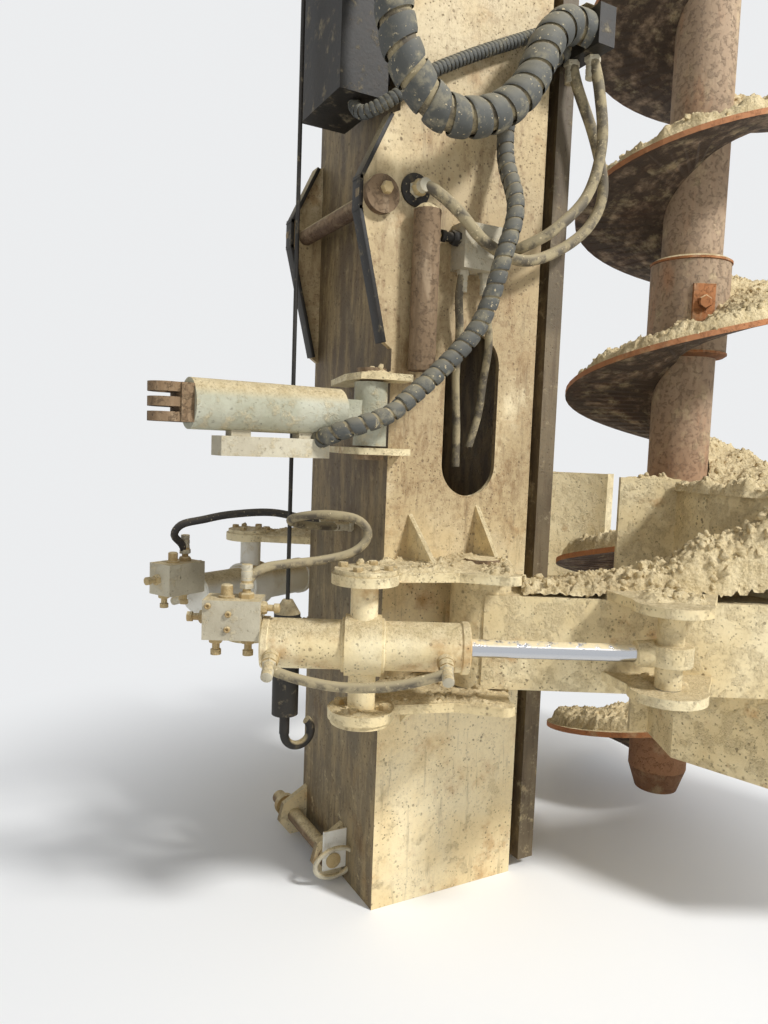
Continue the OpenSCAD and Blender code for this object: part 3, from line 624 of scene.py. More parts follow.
class Piece:
    """One visible piece in the making: a bmesh with the shapes that the sub-assemblies share."""

    # A face of soil and the depth of bare places in millimetres; where clods lie and what is bare, in metres
    CELL = 5.0
    SUNK = 4.0
    THICK = 0.005
    BARE = 0.0035

    def __init__(self, name: str, finish: Finish, body: Body) -> None:
        """Start an empty piece."""
        self.name = name
        self.finish = finish
        self.body = body
        self.bm = bmesh.new()

    def sheet(self, across: int, along: int, place: Place, closed: bool = False) -> list[bmesh.types.BMVert]:
        """Lay a grid of faces over a surface.

        Args:
            across: Faces along the first direction.
            along: Faces along the second direction.
            place: Where a point of the sheet lies, from two shares of 0 to 1.
            closed: True where the sheet meets itself and its edges are merged.

        Returns:
            The grid's vertices.
        """
        made = bmesh.ops.create_grid(self.bm, x_segments=across, y_segments=along, size=0.5)["verts"]
        for vert in made:
            vert.co = place(vert.co.x + 0.5, vert.co.y + 0.5)
        if closed:
            bmesh.ops.remove_doubles(self.bm, verts=made, dist=1e-6)
        return [v for v in made if v.is_valid]

    def tube(self, route: Route, radius: Callable[[float], float], sides: int = 16, step: float = 0.012,
             start: float = 0.0, end: Optional[float] = None) -> None:
        """Sweep a round along a stretch of a route.

        Args:
            route: The path.
            radius: The radius in metres at a distance along it.
            sides: Faces round the tube.
            step: The length of one ring of faces.
            start: Where the stretch starts.
            end: Where it ends; the route's end if not given.
        """
        end = route.length if end is None else end
        rings = max(1, round((end - start) / step))

        def place(u: float, v: float) -> Vector:
            """Put a point on the tube's skin."""
            s = start + v * (end - start)
            a = 2 * math.pi * u
            r = radius(s)
            return route.at(s) @ Vector((r * math.cos(a), r * math.sin(a), 0))

        self.close(self.sheet(sides, rings, place, closed=True))

    def close(self, made: Iterable[bmesh.types.BMVert]) -> None:
        """Fill the open ends of a sheet."""
        edges = {e for v in made for e in v.link_edges if e.is_boundary}
        bmesh.ops.holes_fill(self.bm, edges=list(edges), sides=0)

    def lathe(self, frame: Matrix, profile: Sequence[tuple[float, float]], sides: int = 24) -> None:
        """Turn a profile round an axis; a profile that ends where it starts makes a ring.

        Args:
            frame: Its Z axis is the axis.
            profile: Pairs of height and radius in millimetres.
            sides: Faces round the axis.
        """
        rows = len(profile) - 1

        def place(u: float, v: float) -> Vector:
            """Put a point on the turned skin."""
            height, radius = profile[round(v * rows)]
            a = 2 * math.pi * u
            return frame @ mm(radius * math.cos(a), radius * math.sin(a), height)

        self.close(self.sheet(sides, rows, place, closed=True))

    def hex_head(self, frame: Matrix, width: float, height: float) -> None:
        """Set a hexagon head or nut on a frame's XY plane, its width and height in millimetres."""
        r = width / math.sqrt(3)
        self.lathe(frame, [(0, r * 0.93), (0.06 * height, r), (0.8 * height, r), (height, r * 0.86)], sides=6)

    def block(self, frame: Matrix, low: Point, high: Point, bevel: float = 2.0) -> None:
        """Add a box with bevelled edges between two corners in millimetres."""
        size = mm(*high) - mm(*low)
        middle = (mm(*high) + mm(*low)) / 2
        matrix = frame @ Matrix.Translation(middle) @ Matrix.Diagonal((*size, 1))
        made = bmesh.ops.create_cube(self.bm, size=1.0, matrix=matrix)["verts"]
        edges = list({e for v in made for e in v.link_edges})
        bmesh.ops.bevel(self.bm, geom=edges, offset=bevel * MM, segments=2, profile=0.5, affect="EDGES", material=-1)

    def clod(self, spot: Vector, size: float, rng: random.Random) -> None:
        """Drop a small angular lump of soil, its size in metres."""
        turn = Quaternion((rng.random() - 0.5, rng.random() - 0.5, rng.random() - 0.5, rng.random() - 0.5))
        scale = Matrix.Diagonal((size * rng.uniform(0.7, 1.2), size * rng.uniform(0.7, 1.2), size * 0.8, 1))
        matrix = Matrix.Translation(spot) @ turn.normalized().to_matrix().to_4x4() @ scale
        made = bmesh.ops.create_icosphere(self.bm, subdivisions=1, radius=0.5, matrix=matrix)["verts"]
        for vert in made:
            vert.co += noise.noise_vector(vert.co * 90) * size * 0.22

    def soil(self, frame: Matrix, long: float, wide: float, profile: Callable[[float, float], float],
             clods: int) -> None:
        """Lay crumbly soil over a flat rectangle.

        Args:
            frame: The rectangle's middle, its Z axis upwards.
            long: Half the rectangle's length in millimetres.
            wide: Half its width.
            profile: The soil's height in millimetres at a place; below -3.5 the surface stays bare.
            clods: How many loose lumps lie on it.
        """
        def place(u: float, v: float) -> Vector:
            """Put a point on the soil."""
            x, y = (2 * u - 1) * long, (2 * v - 1) * wide
            spot = frame @ mm(x, y, 0)
            high = profile(x, y)
            if high > 0:
                crumbs = noise.fractal(spot * 70, 0.7, 2.1, 4)
                high = high * (0.9 + 0.45 * noise.noise(spot * 26)) + min(high, 9) * crumbs
            return frame @ mm(x, y, max(high, -self.SUNK))

        made = self.sheet(round(2 * long / self.CELL), round(2 * wide / self.CELL), place)
        level = frame.translation.z
        spots = [v.co.copy() for v in made if v.co.z > level + self.THICK]
        bare = {v for v in made if v.co.z < level - self.BARE}
        faces = [f for f in {f for v in made for f in v.link_faces} if all(v in bare for v in f.verts)]
        bmesh.ops.delete(self.bm, geom=faces, context="FACES")
        self.scatter(spots, clods)

    def mound(self, frame: Matrix, long: float, wide: float, high: float, clods: int) -> None:
        """Lay a low mound of soil with an uneven outline, its sizes in millimetres."""
        def profile(x: float, y: float) -> float:
            """Fall off towards the rim, unevenly."""
            spot = frame @ mm(x, y, 0)
            rim = 1 - max(abs(x) / long, abs(y) / wide) ** 3
            return high * (rim - 0.2 + 0.7 * noise.noise(spot * 17)) - 2

        self.soil(frame, long, wide, profile, clods)

    def scatter(self, spots: Sequence[Vector], count: int, small: float = 0.006, large: float = 0.024) -> None:
        """Drop loose lumps on places picked at random, small ones more often than large ones."""
        rng = random.Random(len(spots) + count)
        for _ in range(count if spots else 0):
            self.clod(rng.choice(spots), small + (large - small) * rng.random() ** 2.5, rng)

    def deliver(self, mirrored: bool = False, replaces: Iterable[str] = (), sharp: float = 35.0,
                bend: Optional[Bend] = None) -> bpy.types.Object:
        """Make the finished object, riding on its body unless it lies between two bodies.

        Args:
            mirrored: True to turn a far piece into its near mirror image.
            replaces: Nodes of the frame that the piece stands for.
            sharp: Edges sharper than this angle in degrees stay sharp.
            bend: The two bodies it lies between, where it doesn't ride on one; the object then stays fixed where it
                is built.

        Returns:
            The object.
        """
        if mirrored:
            bmesh.ops.scale(self.bm, vec=(1, -1, 1), verts=self.bm.verts)
        bmesh.ops.recalc_face_normals(self.bm, faces=self.bm.faces)
        mesh = bpy.data.meshes.new(self.name)
        self.bm.to_mesh(mesh)
        self.bm.free()
        mesh.shade_smooth()
        mesh.set_sharp_from_angle(angle=math.radians(sharp))
        mesh.materials.append(self.finish.material)
        made = add_object(self.name, mesh)
        if bend:
            mm(*bend.start)
            mm(*bend.end)
            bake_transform(made)
        else:
            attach(made, self.body.value)
        self.finish.slot
        if replaces:
            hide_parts(*replaces)
        LOG.info("%s: %d faces on %s", self.name, len(mesh.polygons), self.body.value)
        return made


@dataclass
class Studio:
    """Camera, lamps, floor and backdrop."""

    spot: Point = (-1.273, -2.144, 1.352)
    yaw: float = 28.448
    down: float = 4.87
    roll: float = 0.03685
    lens: float = 27.0
    pale: Colour = (0.9, 0.9, 0.89)
    backdrop: Colour = (0.84, 0.85, 0.86)
    sky: Colour = (0.95, 0.97, 1.0)
    ambient: float = 0.4
    floor_size: float = 60.0
    floor_z: float = -0.0005
    floor_fade: tuple[float, float] = (0.5, 2.4)
    aim: Point = (0.3, 0, 1.2)
    away: float = 14.0

    def camera(self) -> None:
        """Set the camera where the photograph was taken."""
        yaw, down = math.radians(self.yaw), math.radians(self.down)
        ahead = Vector((math.sin(yaw) * math.cos(down), math.cos(yaw) * math.cos(down), -math.sin(down)))
        right = ahead.cross(Vector((0, 0, 1))).normalized()
        above = right.cross(ahead)
        right, above = (right + self.roll * above).normalized(), (above - self.roll * right).normalized()
        data = bpy.data.cameras.new("View")
        data.lens = self.lens
        data.sensor_width = 36.0
        camera = add_object("View", data)
        turn = Matrix((right, above, -ahead)).transposed().to_4x4()
        camera.matrix_world = Matrix.Translation(Vector(self.spot)) @ turn
        bpy.context.scene.camera = camera

    def lamp(self, name: str, way: Point, size: float, power: float) -> None:
        """Add a square area lamp that shines at the object.

        Args:
            name: Its name.
            way: The direction from the object to the lamp.
            size: Its edge length in metres.
            power: Its power in watts.
        """
        data = bpy.data.lights.new(name, "AREA")
        data.size = size
        data.energy = power
        towards = Vector(way).normalized()
        add_object(name, data).matrix_world = facing_frame(Vector(self.aim) + towards * self.away, towards)

    def seen(self, tree: bpy.types.NodeTree) -> bpy.types.NodeSocket:
        """Give a socket that is 1 for what the camera sees straight, mirrored or through something."""
        light = tree.nodes.new("ShaderNodeLightPath")
        total = light.outputs["Is Camera Ray"]
        for name in ("Is Glossy Ray", "Is Transmission Ray"):
            adder = tree.nodes.new("ShaderNodeMath")
            adder.operation = "MAXIMUM"
            tree.links.new(total, adder.inputs[0])
            tree.links.new(light.outputs[name], adder.inputs[1])
            total = adder.outputs[0]
        return total

    def floor_material(self) -> bpy.types.Material:
        """Make the pale floor: plain round the object, and as bright as the backdrop far from it."""
        kit = NodeKit("FloorPale")
        far = kit.node("VectorMath", {"operation": "LENGTH"}, {0: kit.place}, output="Value")
        share = far.span(*self.floor_fade) * Wire(kit, self.seen(kit.tree))
        plain = kit.node("BsdfDiffuse", {}, {"Color": self.pale})
        glow = kit.node("Emission", {}, {"Color": self.backdrop, "Strength": 1.0})
        both = kit.node("MixShader", {}, {0: share, 1: plain, 2: glow})
        output = kit.tree.nodes.new("ShaderNodeOutputMaterial")
        kit.tree.links.new(both.socket, output.inputs["Surface"])
        return kit.material

    def floor(self) -> None:
        """Lay the floor."""
        bm = bmesh.new()
        bmesh.ops.create_grid(bm, x_segments=1, y_segments=1, size=self.floor_size)
        mesh = bpy.data.meshes.new("floor")
        bm.to_mesh(mesh)
        bm.free()
        mesh.materials.append(self.floor_material())
        floor = add_object("floor", mesh)
        floor.location.z = self.floor_z

    def world(self) -> None:
        """Fill the scene with an even light, and show the pale backdrop behind it."""
        world = bpy.data.worlds.new("Studio")
        world.use_nodes = True
        tree = world.node_tree
        even = tree.nodes["Background"]
        even.inputs["Color"].default_value = (*self.sky, 1)
        even.inputs["Strength"].default_value = self.ambient
        pale = tree.nodes.new("ShaderNodeBackground")
        pale.inputs["Color"].default_value = (*self.backdrop, 1)
        mixer = tree.nodes.new("ShaderNodeMixShader")
        tree.links.new(self.seen(tree), mixer.inputs[0])
        tree.links.new(even.outputs[0], mixer.inputs[1])
        tree.links.new(pale.outputs[0], mixer.inputs[2])
        tree.links.new(mixer.outputs[0], tree.nodes["World Output"].inputs["Surface"])
        bpy.context.scene.world = world
        bpy.context.scene.view_settings.view_transform = "Standard"

    def build(self) -> None:
        """Build the studio."""
        self.camera()
        self.world()
        self.floor()
        self.lamp("Key", (0.34, -0.7, 0.68), 2.0, 2000)
        self.lamp("Fill", (-0.75, -0.6, 0.25), 6.0, 120)


@dataclass
class HoseRun:
    """One hose: its route in millimetres, its thickness and how it is wrapped."""

    SIDES = 18
    CORE = 0.82
    BAND_THICK = 0.0035
    TURN_STEPS = 28
    # Height in millimetres and share of the hose's radius, from the nut to the sleeve's end
    SLEEVE = ((14, 0.8), (15, 1.12), (26, 1.12), (27, 1.06), (32, 1.06), (33, 1.13), (44, 1.13), (45, 1.06),
              (50, 1.06), (51, 1.13), (60, 1.1), (61, 0.97))

    node: str
    body: Body
    points: Sequence[Point]
    thick: float
    leave: Point
    enter: Point
    band: float = 0.0
    pitch: float = 0.0
    ferrules: tuple[bool, bool] = (True, True)
    finish: Finish = Finish.RUBBER
    frame: Matrix = field(default_factory=Matrix)
    mirrored: bool = False
    bend: Optional[Bend] = None
    new: bool = False

    def build(self) -> None:
        """Build the hose with its ferrules, or its spiral wrap."""
        route = Route(self.points, self.leave, self.enter, self.frame)
        LOG.info("%s is %.0f mm long", self.node, route.length / MM)
        r = self.thick / 2 * MM
        wrapped = self.band > 0
        hose = Piece(self.node + "_body", self.finish, self.body)
        if wrapped:
            hose.tube(route, lambda s: r * self.CORE, self.SIDES)
        else:
            hose.tube(route, lambda s: r * (0.97 + 0.02 * noise.noise(Vector((s * 25, r, 0)))), self.SIDES)
        hose.deliver(self.mirrored, () if self.new else [self.node], bend=self.bend)
        if wrapped:
            self.wrap(route, r)
        self.sleeves(route)

    def wrap(self, route: Route, r: float) -> None:
        """Wind a flat band round the hose with a narrow gap between its turns."""
        turns = route.length / (self.pitch * MM)
        share = self.band / self.pitch
        wrap = Piece(self.node + "_wrap", Finish.WRAP, self.body)
        steps = max(24, round(turns * self.TURN_STEPS))

        def place(u: float, v: float) -> Vector:
            """Put a point on the band, its edges a little lower than its middle."""
            s = (v * turns + (u - 0.5) * share) * self.pitch * MM
            s = min(max(s, 0.001), route.length - 0.001)
            a = 2 * math.pi * v * turns
            wave = 1 + 0.02 * noise.noise(Vector((v * turns * 1.7, u, r)))
            out = r * wave * (0.985 - 0.05 * (2 * u - 1) ** 4)
            return route.at(s) @ Vector((out * math.cos(a), out * math.sin(a), 0))

        wrap.sheet(6, steps, place)
        bmesh.ops.solidify(wrap.bm, geom=wrap.bm.faces[:], thickness=self.BAND_THICK)
        wrap.deliver(self.mirrored, sharp=50, bend=self.bend)

    def sleeves(self, route: Route) -> None:
        """Crimp a steel sleeve with a nut on each end that has one."""
        if not any(self.ferrules) or self.band > 0:
            return
        metal = Piece(self.node + "_ends", Finish.VALVE, self.body)
        ends = (route.at(0.0), route.at(route.length) @ Matrix.Rotation(math.pi, 4, "X"))
        for frame, wanted in zip(ends, self.ferrules):
            if wanted:
                metal.lathe(frame, [(z, self.thick / 2 * share) for z, share in self.SLEEVE], 20)
                metal.hex_head(frame, self.thick * 1.25, 15)
        metal.deliver(self.mirrored, bend=self.bend)


@dataclass
class Hoses:
    """All hoses on the mast and the cylinders; those that the frame has too follow its routes."""

    face_y: float = 265.0
    rail_x: float = 286.0
    block: Point = (-8.0, 1915.0)
    block_half: float = 62.5
    clamp_z: float = 2500.0
    console_z: float = 2266.0

    def build(self) -> None:
        """Build every hose."""
        for run in (*self.of_mast(), *self.of_cylinder(Side.NEAR), *self.of_cylinder(Side.FAR), self.of_prop()):
            run.build()

    def of_mast(self) -> list[HoseRun]:
        """Give the hoses that lie on the mast."""
        y, rail = -self.face_y, self.rail_x
        block_x, block_z, half = *self.block, self.block_half
        return [
            HoseRun("hose_bundle", Body.MAST, [
                (-360, y, 2720), (-365, -335, 2700), (-375, -400, 2600), (-375, -430, 2450), (-335, -432, 2300),
                (-220, -428, 2200), (-70, -425, 2225), (50, -415, 2325), (130, -395, 2470), (205, -376, 2546),
                (rail, -372, 2555)], 100, (0, -1, 0), (1, 0, 0), band=47, pitch=62),
            HoseRun("hose_loop_long", Body.MAST, [
                (300, -300, self.clamp_z), (312, -320, 2420), (370, -340, 2280), (409, -345, 2143),
                (366, -345, 2034), (256, -345, 1945), (112, -360, 1890), (-20, -368, 1915), (-110, -355, 1990),
                (-175, -325, 2044), (-196, -292, 2052), (-196, y, 2052)], 33, (0, 0, -1), (0, 1, 0)),
            HoseRun("hose_loop_short", Body.MAST, [
                (330, -355, self.clamp_z), (335, -385, 2400), (345, -398, 2247), (300, -400, 2095),
                (195, -395, 1985), (130, -355, 1938), (90, -312, 1918), (block_x + half, -305, block_z)],
                33, (0, 0, -1), (-1, 0, 0)),
            HoseRun("hose_wrapped", Body.MAST, [
                (rail, -293, 2535), (200, -293, 2465), (90, -300, 2340), (58, -325, 2180), (42, -405, 2020),
                (-5, -428, 1880), (-60, -415, 1700), (-160, -400, 1575), (-290, -402, 1462)],
                50, (-1, 0, 0), (-130, 0, -113), band=28, pitch=37),
            HoseRun("hose_conduit", Body.MAST, [
                (-360, -200, self.console_z), (-352, -250, 2228), (-290, -300, 2262), (-200, -303, 2340),
                (-60, -300, 2425), (80, -295, 2500), (200, -290, 2560), (rail, -290, 2585)],
                35, (0, 0, -1), (1, 0, 0), band=10, pitch=14),
            HoseRun("hose_hole_left", Body.MAST, [
                (-50, -300, block_z - half), (-60, -300, 1780), (-50, -295, 1680), (-30, -255, 1560),
                (0, -225, 1420), (10, -215, 1300)], 24, (0, 0, -1), (0, 0, -1), ferrules=(True, False)),
            HoseRun("hose_hole_right", Body.MAST, [
                (25, -300, block_z - half), (35, -300, 1760), (60, -285, 1660), (75, -245, 1560),
                (80, -220, 1460), (60, -205, 1360)], 24, (0, 0, -1), (0, 0, -1), ferrules=(True, False)),
        ]

    def of_prop(self) -> HoseRun:
        """Give the end of the wrapped hose, which leads on to the prop's valve."""
        return HoseRun("prop_hose", Body.PROP, [
            (-290, -402, 1462), (-322, -408, 1440), (-370, -404, 1418), (-430, -385, 1396), (-470, -355, 1376),
            (-482, -318, 1366), (-482, -296, 1364)], 46, (-130, 0, -113), (0, 1, 0), band=28, pitch=37,
            bend=Bend(Body.MAST, Body.PROP, (-300, -402, 1460), (-380, -400, 1415)), new=True)

    def of_cylinder(self, side: Side) -> list[HoseRun]:
        """Give the hoses of one guide cylinder: the one below it and the one from its valve block to the mast."""
        body, near = side.body("cylinder"), side is Side.NEAR
        start, end = ([x, *(PORT_REACH * PORT_WAY)[1:]] for x in PORT_X)
        below = HoseRun(f"cylinder_hose_{side.label}", body, [
            start, (-218, 100, -40), (-150, 104, -62), (-50, 104, -78), (60, 104, -74), (150, 100, -56),
            (198, 98, -39), end], 26, PORT_WAY, -PORT_WAY, frame=FAR_CYLINDER, mirrored=near)
        if near:
            points = [(-664, -313, 986), (-652, -308, 1012), (-618, -300, 1032), (-560, -298, 1040),
                      (-459, -298, 1046), (-371, -298, 1062), (-325, -295, 1092), (-318, -288, 1126),
                      (-350, -272, 1154), (-420, -238, 1162), (-478, -180, 1150), (-470, -110, 1130),
                      (-400, -72, 1114), (-320, -58, 1108), (-250, -55, 1108)]
        else:
            points = [(-664, 313, 986), (-676, 306, 1016), (-706, 285, 1050), (-690, 255, 1086), (-630, 225, 1104),
                      (-553, 195, 1122), (-440, 150, 1132), (-351, 100, 1118), (-300, 62, 1106), (-250, 55, 1104)]
        bend = Bend(body, Body.MAST, points[0], points[5])
        over = HoseRun(f"valve_hose_{side.label}", body, points, 25, (0, 0, 1), (1, 0, 0), bend=bend, new=True,
                       finish=Finish.RUBBER if near else Finish.BLACK)
        return [below, over]


@dataclass
class AugerSoil:
    """Soil that lies on the upper face of the flight: its sizes in metres, its phase in degrees."""

    inner: float = 0.118
    outer: float = 0.444
    pitch: float = 0.690
    low: float = 0.12
    high: float = 2.98
    plate: float = 0.020
    phase: float = 130.8
    phase_z: float = 1.570
    cells: tuple[int, int] = (48, 1500)
    clods: int = 1100
    clods_above: float = 1.0

    def place(self, u: float, v: float) -> Vector:
        """Put a point of the crust on the flight: u runs outwards, v up the helix."""
        z = self.low + v * (self.high - self.low)
        angle = math.radians(self.phase) + 2 * math.pi * (z - self.phase_z) / self.pitch
        r = self.inner + u * (self.outer - self.inner)
        flat = Vector((r * math.cos(angle), r * math.sin(angle), z + self.plate))
        lumps = noise.fractal(flat * 8, 0.8, 2.1, 5)
        crumbs = noise.fractal(flat * 60, 0.6, 2.2, 3)
        broken = 0.075 + 0.05 * noise.noise(flat * 14) + 0.02 * noise.noise(flat * 70)
        edge = min(1.0, max(0.0, (1 - u) / max(broken, 0.02) - 0.6)) * min(1.0, v / 0.004, (1 - v) / 0.004)
        rise = math.sin(math.pi * min(1.0, 0.2 + 0.8 * u)) * 0.014
        thick = (0.042 + rise + 0.026 * lumps + 0.012 * crumbs) * edge ** 0.4
        spread = noise.noise_vector(flat * 60) * 0.006 * edge
        return Vector((AUGER_X * MM, 0, 0)) + flat + Vector((spread.x, spread.y, max(thick, -0.004)))

    def build(self) -> None:
        """Build the crust and the lumps on it."""
        crust = Piece("flight_soil", Finish.CRUST, Body.AUGER)
        made = crust.sheet(*self.cells, self.place)
        spots = [v.co.copy() for v in made if v.co.z > self.clods_above]
        crust.deliver(sharp=60)
        loose = Piece("flight_clods", Finish.CRUST, Body.AUGER)
        loose.scatter(spots, self.clods, 0.008, 0.034)
        loose.deliver(sharp=60)


@dataclass
class GuideSoil:
    """Dried soil heaped on a guide's arm against its shell, and along the shell's upper edge.

    The heap's height in millimetres is given along the arm, with the shares of it across the arm.
    """

    side: Side
    along: Sequence[float] = (125, 215, 300, 380, 450, 520, 590, 660, 730, 800, 870, 940, 1010)
    high: Sequence[float] = (22, 30, 44, 66, 84, 108, 150, 186, 216, 238, 262, 274, 280)
    across: Sequence[float] = (-86, -62, -28, 10, 46, 72, 88)
    share: Sequence[float] = (0.1, 0.62, 0.9, 1, 0.92, 0.6, 0.12)
    arm_top: float = 960.0
    shell_top: float = 1250.0
    wall: float = 527.0
    heap_start: float = 105.0
    heap_long: float = 920.0
    heap_half: float = 89.0
    heap_cells: tuple[int, int] = (180, 60)
    rim_start: float = 179.0
    rim_sweep: float = 150.0
    rim_cells: tuple[int, int] = (8, 300)

    def heap(self, u: float, v: float) -> Vector:
        """Put a point of the heap on the arm, held outside the shell's wall."""
        x, y = self.heap_start + self.heap_long * u, -self.heap_half + 2 * self.heap_half * v
        away = Vector((x - AUGER_X, y + HINGE_Y, 0))
        spot = FAR_ARM @ mm(x, y, self.arm_top)
        high = step_table(x, self.along, self.high) * step_table(y, self.across, self.share)
        high = high * (1 + 0.18 * noise.noise(spot * 14)) + 5 * min(1.0, u / 0.02)
        high += min(high, 16) * noise.fractal(spot * 55 + Vector((0, 0, high / 60)), 0.7, 2.1, 4)
        if away.length < self.wall:
            away *= self.wall / away.length
        push = noise.noise_vector(spot * 45 + Vector((0, 0, high / 25))) * min(high, 30) * 0.22
        return FAR_ARM @ (mm(AUGER_X + away.x, away.y - HINGE_Y, self.arm_top + max(high, -4)) + push * MM)

    def rim(self, u: float, v: float) -> Vector:
        """Put a point of the soil on the shell's edge: u across the edge, v round the shell."""
        a = math.radians(self.rim_start - self.rim_sweep * v)
        spot = FAR_SHELL @ mm(self.wall * math.cos(a), self.wall * math.sin(a), self.shell_top)
        thick = 0.35 + 0.9 * max(0.0, math.cos(math.radians(self.rim_start - self.rim_sweep * v - 150))) ** 3
        lump = max(0.0, thick + 1.1 * noise.noise(spot * 11) + 0.5 * noise.noise(spot * 47))
        r = self.wall + (9 + 16 * lump) * math.cos(math.pi * u) + 6 * noise.noise(spot * 80 + Vector((0, 0, 9 * u)))
        z = self.shell_top - 6 + (7 + 30 * lump) * math.sin(math.pi * u) * (1 + 0.3 * noise.noise(spot * 90))
        return FAR_SHELL @ mm(r * math.cos(a), r * math.sin(a), z)

    def build(self) -> None:
        """Build the heap, the edge and a few low mounds."""
        crust = Piece(f"guide_soil_{self.side.label}", Finish.CRUST, self.side.body("guide"))
        made = crust.sheet(*self.heap_cells, self.heap)
        crust.scatter([v.co.copy() for v in made if v.co.z > 0.985], 420, 0.008, 0.034)
        made = crust.sheet(*self.rim_cells, self.rim)
        crust.scatter([v.co.copy() for v in made if v.co.z > 1.262], 120, 0.006, 0.022)
        for frame, spot, sizes in ((FAR_ARM, (470, 160, 985), (92, 85, 24, 36)),
                                   (FAR_ARM, (455, 165, 760), (80, 60, 14, 16)),
                                   (FAR_SHELL, (-625, 13, 1280), (95, 8, 16, 12))):
            crust.mound(frame @ Matrix.Translation(mm(*spot)), *sizes)
        crust.deliver(self.side is Side.NEAR, sharp=60)


@dataclass
class BracketSoil:
    """Soil and bolts on the plates that carry a guide and its cylinder."""

    side: Side
    top: float = 1034.0
    low: float = 690.0
    boss: float = 76.0
    bolt_circle: float = 60.0
    outline: Sequence[Point] = (
        (-250, 265), (115, 265), (93, 387), (70, 440), (-17, 563), (-63, 601), (-161, 515), (-315, 472),
        (-345, 508), (-400, 531), (-460, 507), (-484, 447), (-460, 387), (-400, 364))

    def ring(self) -> list[Point]:
        """Give the round outline of the boss over the trunnion."""
        (x, y), turns = TRUNNION, [k * math.pi / 12 for k in range(24)]
        return [(x + self.boss * math.cos(a), y + self.boss * math.sin(a)) for a in turns]

    def cover(self, soil: Piece, frame: Matrix, long: float, wide: float, high: float, outline: Sequence[Point],
              clods: int) -> None:
        """Lay soil over a plate, down to nothing at its outline.

        Args:
            soil: The piece that it goes into.
            frame: The middle of the covered rectangle.
            long: Half the rectangle's length in millimetres.
            wide: Half its width.
            high: The soil's greatest height.
            outline: The plate's outline in the same units, seen from above.
            clods: How many loose lumps lie on it.
        """
        middle = frame.translation / MM

        def profile(x: float, y: float) -> float:
            """Fall off towards the plate's edge."""
            edge = min(1.0, (depth_inside(middle.x + x, middle.y + y, outline) - 3) / 9)
            return high * (0.45 + 0.9 * noise.noise(frame @ mm(x, y, 0) * 15)) * edge - 1.5 if edge > 0 else -5

        soil.soil(frame, long, wide, profile, clods)

    def build(self) -> None:
        """Build both for one side."""
        near = self.side is Side.NEAR
        soil = Piece(f"bracket_soil_{self.side.label}", Finish.CRUST, Body.MAST)
        for level, high, clods in ((self.top, 17, 110), (self.low, 13, 70)):
            self.cover(soil, turned_frame((-170, 430, level), 0), 305, 175, high, self.outline, clods)
        boss = turned_frame((*TRUNNION, self.top + 12), 0)
        self.cover(soil, boss, self.boss, self.boss, 12, self.ring(), 20)
        soil.deliver(near, sharp=60)
        bolts = Piece(f"bracket_bolts_{self.side.label}", Finish.BRASS, Body.MAST)
        for k in range(4):
            a = math.radians(45 + 90 * k)
            x, y = TRUNNION[0] + self.bolt_circle * math.cos(a), TRUNNION[1] + self.bolt_circle * math.sin(a)
            bolts.hex_head(turned_frame((x, y, self.top + 11), 10 * k), 22, 13)
            bolts.hex_head(turned_frame((x, y, self.low - 1), 25 * k), 24, 15)
        bolts.deliver(near)


@dataclass
class CylinderTrim:
    """Screws, adapters, rings and the rod's eye of one guide cylinder."""

    side: Side
    eye_x: float = 785.2

    def build(self) -> None:
        """Build the pieces of one side."""
        near, body, c = self.side is Side.NEAR, self.side.body("cylinder"), FAR_CYLINDER
        brass = Piece(f"valve_fittings_{self.side.label}", Finish.BRASS, body)
        for x, z in ((-333, 79), (-335, 41), (-383, 98)):
            brass.lathe(c @ facing_frame(mm(x, 47.5, z), (0, 1, 0)), [(-3, 8), (5, 8), (7, 6), (7, 4), (3, 3.5)], 14)
        brass.lathe(c @ facing_frame(mm(-345, 0, 112), (0, 0, 1)), [(-3, 21), (5, 21), (6, 15), (30, 15), (33, 11)])
        for spot, way, size in (((-296, 0, 112), (0, 0, 1), 34), ((-397, 8, 62), (-1, 0, 0), 30),
                                ((-255, 20, 92), (1, 0, 0), 28), ((-368, 12, 13), (0, 0, -1), 32),
                                ((-288, 12, 13), (0, 0, -1), 32)):
            at = c @ facing_frame(mm(*spot), way)
            brass.hex_head(at @ Matrix.Translation(mm(0, 0, -2)), size, 16)
            brass.lathe(at, [(12, size * 0.3), (30, size * 0.3), (31, size * 0.42), (44, size * 0.42), (46, 5)], 16)
        for x in PORT_X:
            at = c @ facing_frame(mm(x, 0, 0) + PORT_REACH * MM * PORT_WAY, PORT_WAY)
            brass.lathe(at, [(-28, 19), (-27, 22), (-12, 22), (-11, 20), (8, 20), (9, 12)], 20)
            brass.hex_head(at @ Matrix.Translation(mm(0, 0, 7)), 27, 13)
        brass.deliver(near)
        rings = Piece(f"barrel_rings_{self.side.label}", Finish.BARREL if near else Finish.WHITE, body)
        for x, r, half in ((257, 67, 11), (-244, 66, 10), (-49, 69, 6), (49, 69, 6)):
            rings.lathe(c @ facing_frame(mm(x - half, 0, 0), (1, 0, 0)),
                        [(0, 60), (1, r - 2), (3, r), (2 * half - 3, r), (2 * half - 1, r - 2), (2 * half, 60),
                         (0, 60)], 40)
        rings.deliver(near)
        eye = Piece(f"rod_eye_{self.side.label}", Finish.SOILED, self.side.body("piston"))
        for z, profile, sides in ((-28, [(0, 50), (2, 57), (4, 58), (52, 58), (54, 57), (56, 50)], 40),
                                  (-88, [(0, 30), (1, 34), (195, 34), (196, 30)], 32)):
            eye.lathe(c @ Matrix.Translation(mm(self.eye_x, 0, z)), profile, sides)
        eye.lathe(c @ facing_frame(mm(self.eye_x - 92, 0, 0), (1, 0, 0)), [(0, 23), (3, 33), (44, 35)], 28)
        eye.deliver(near)


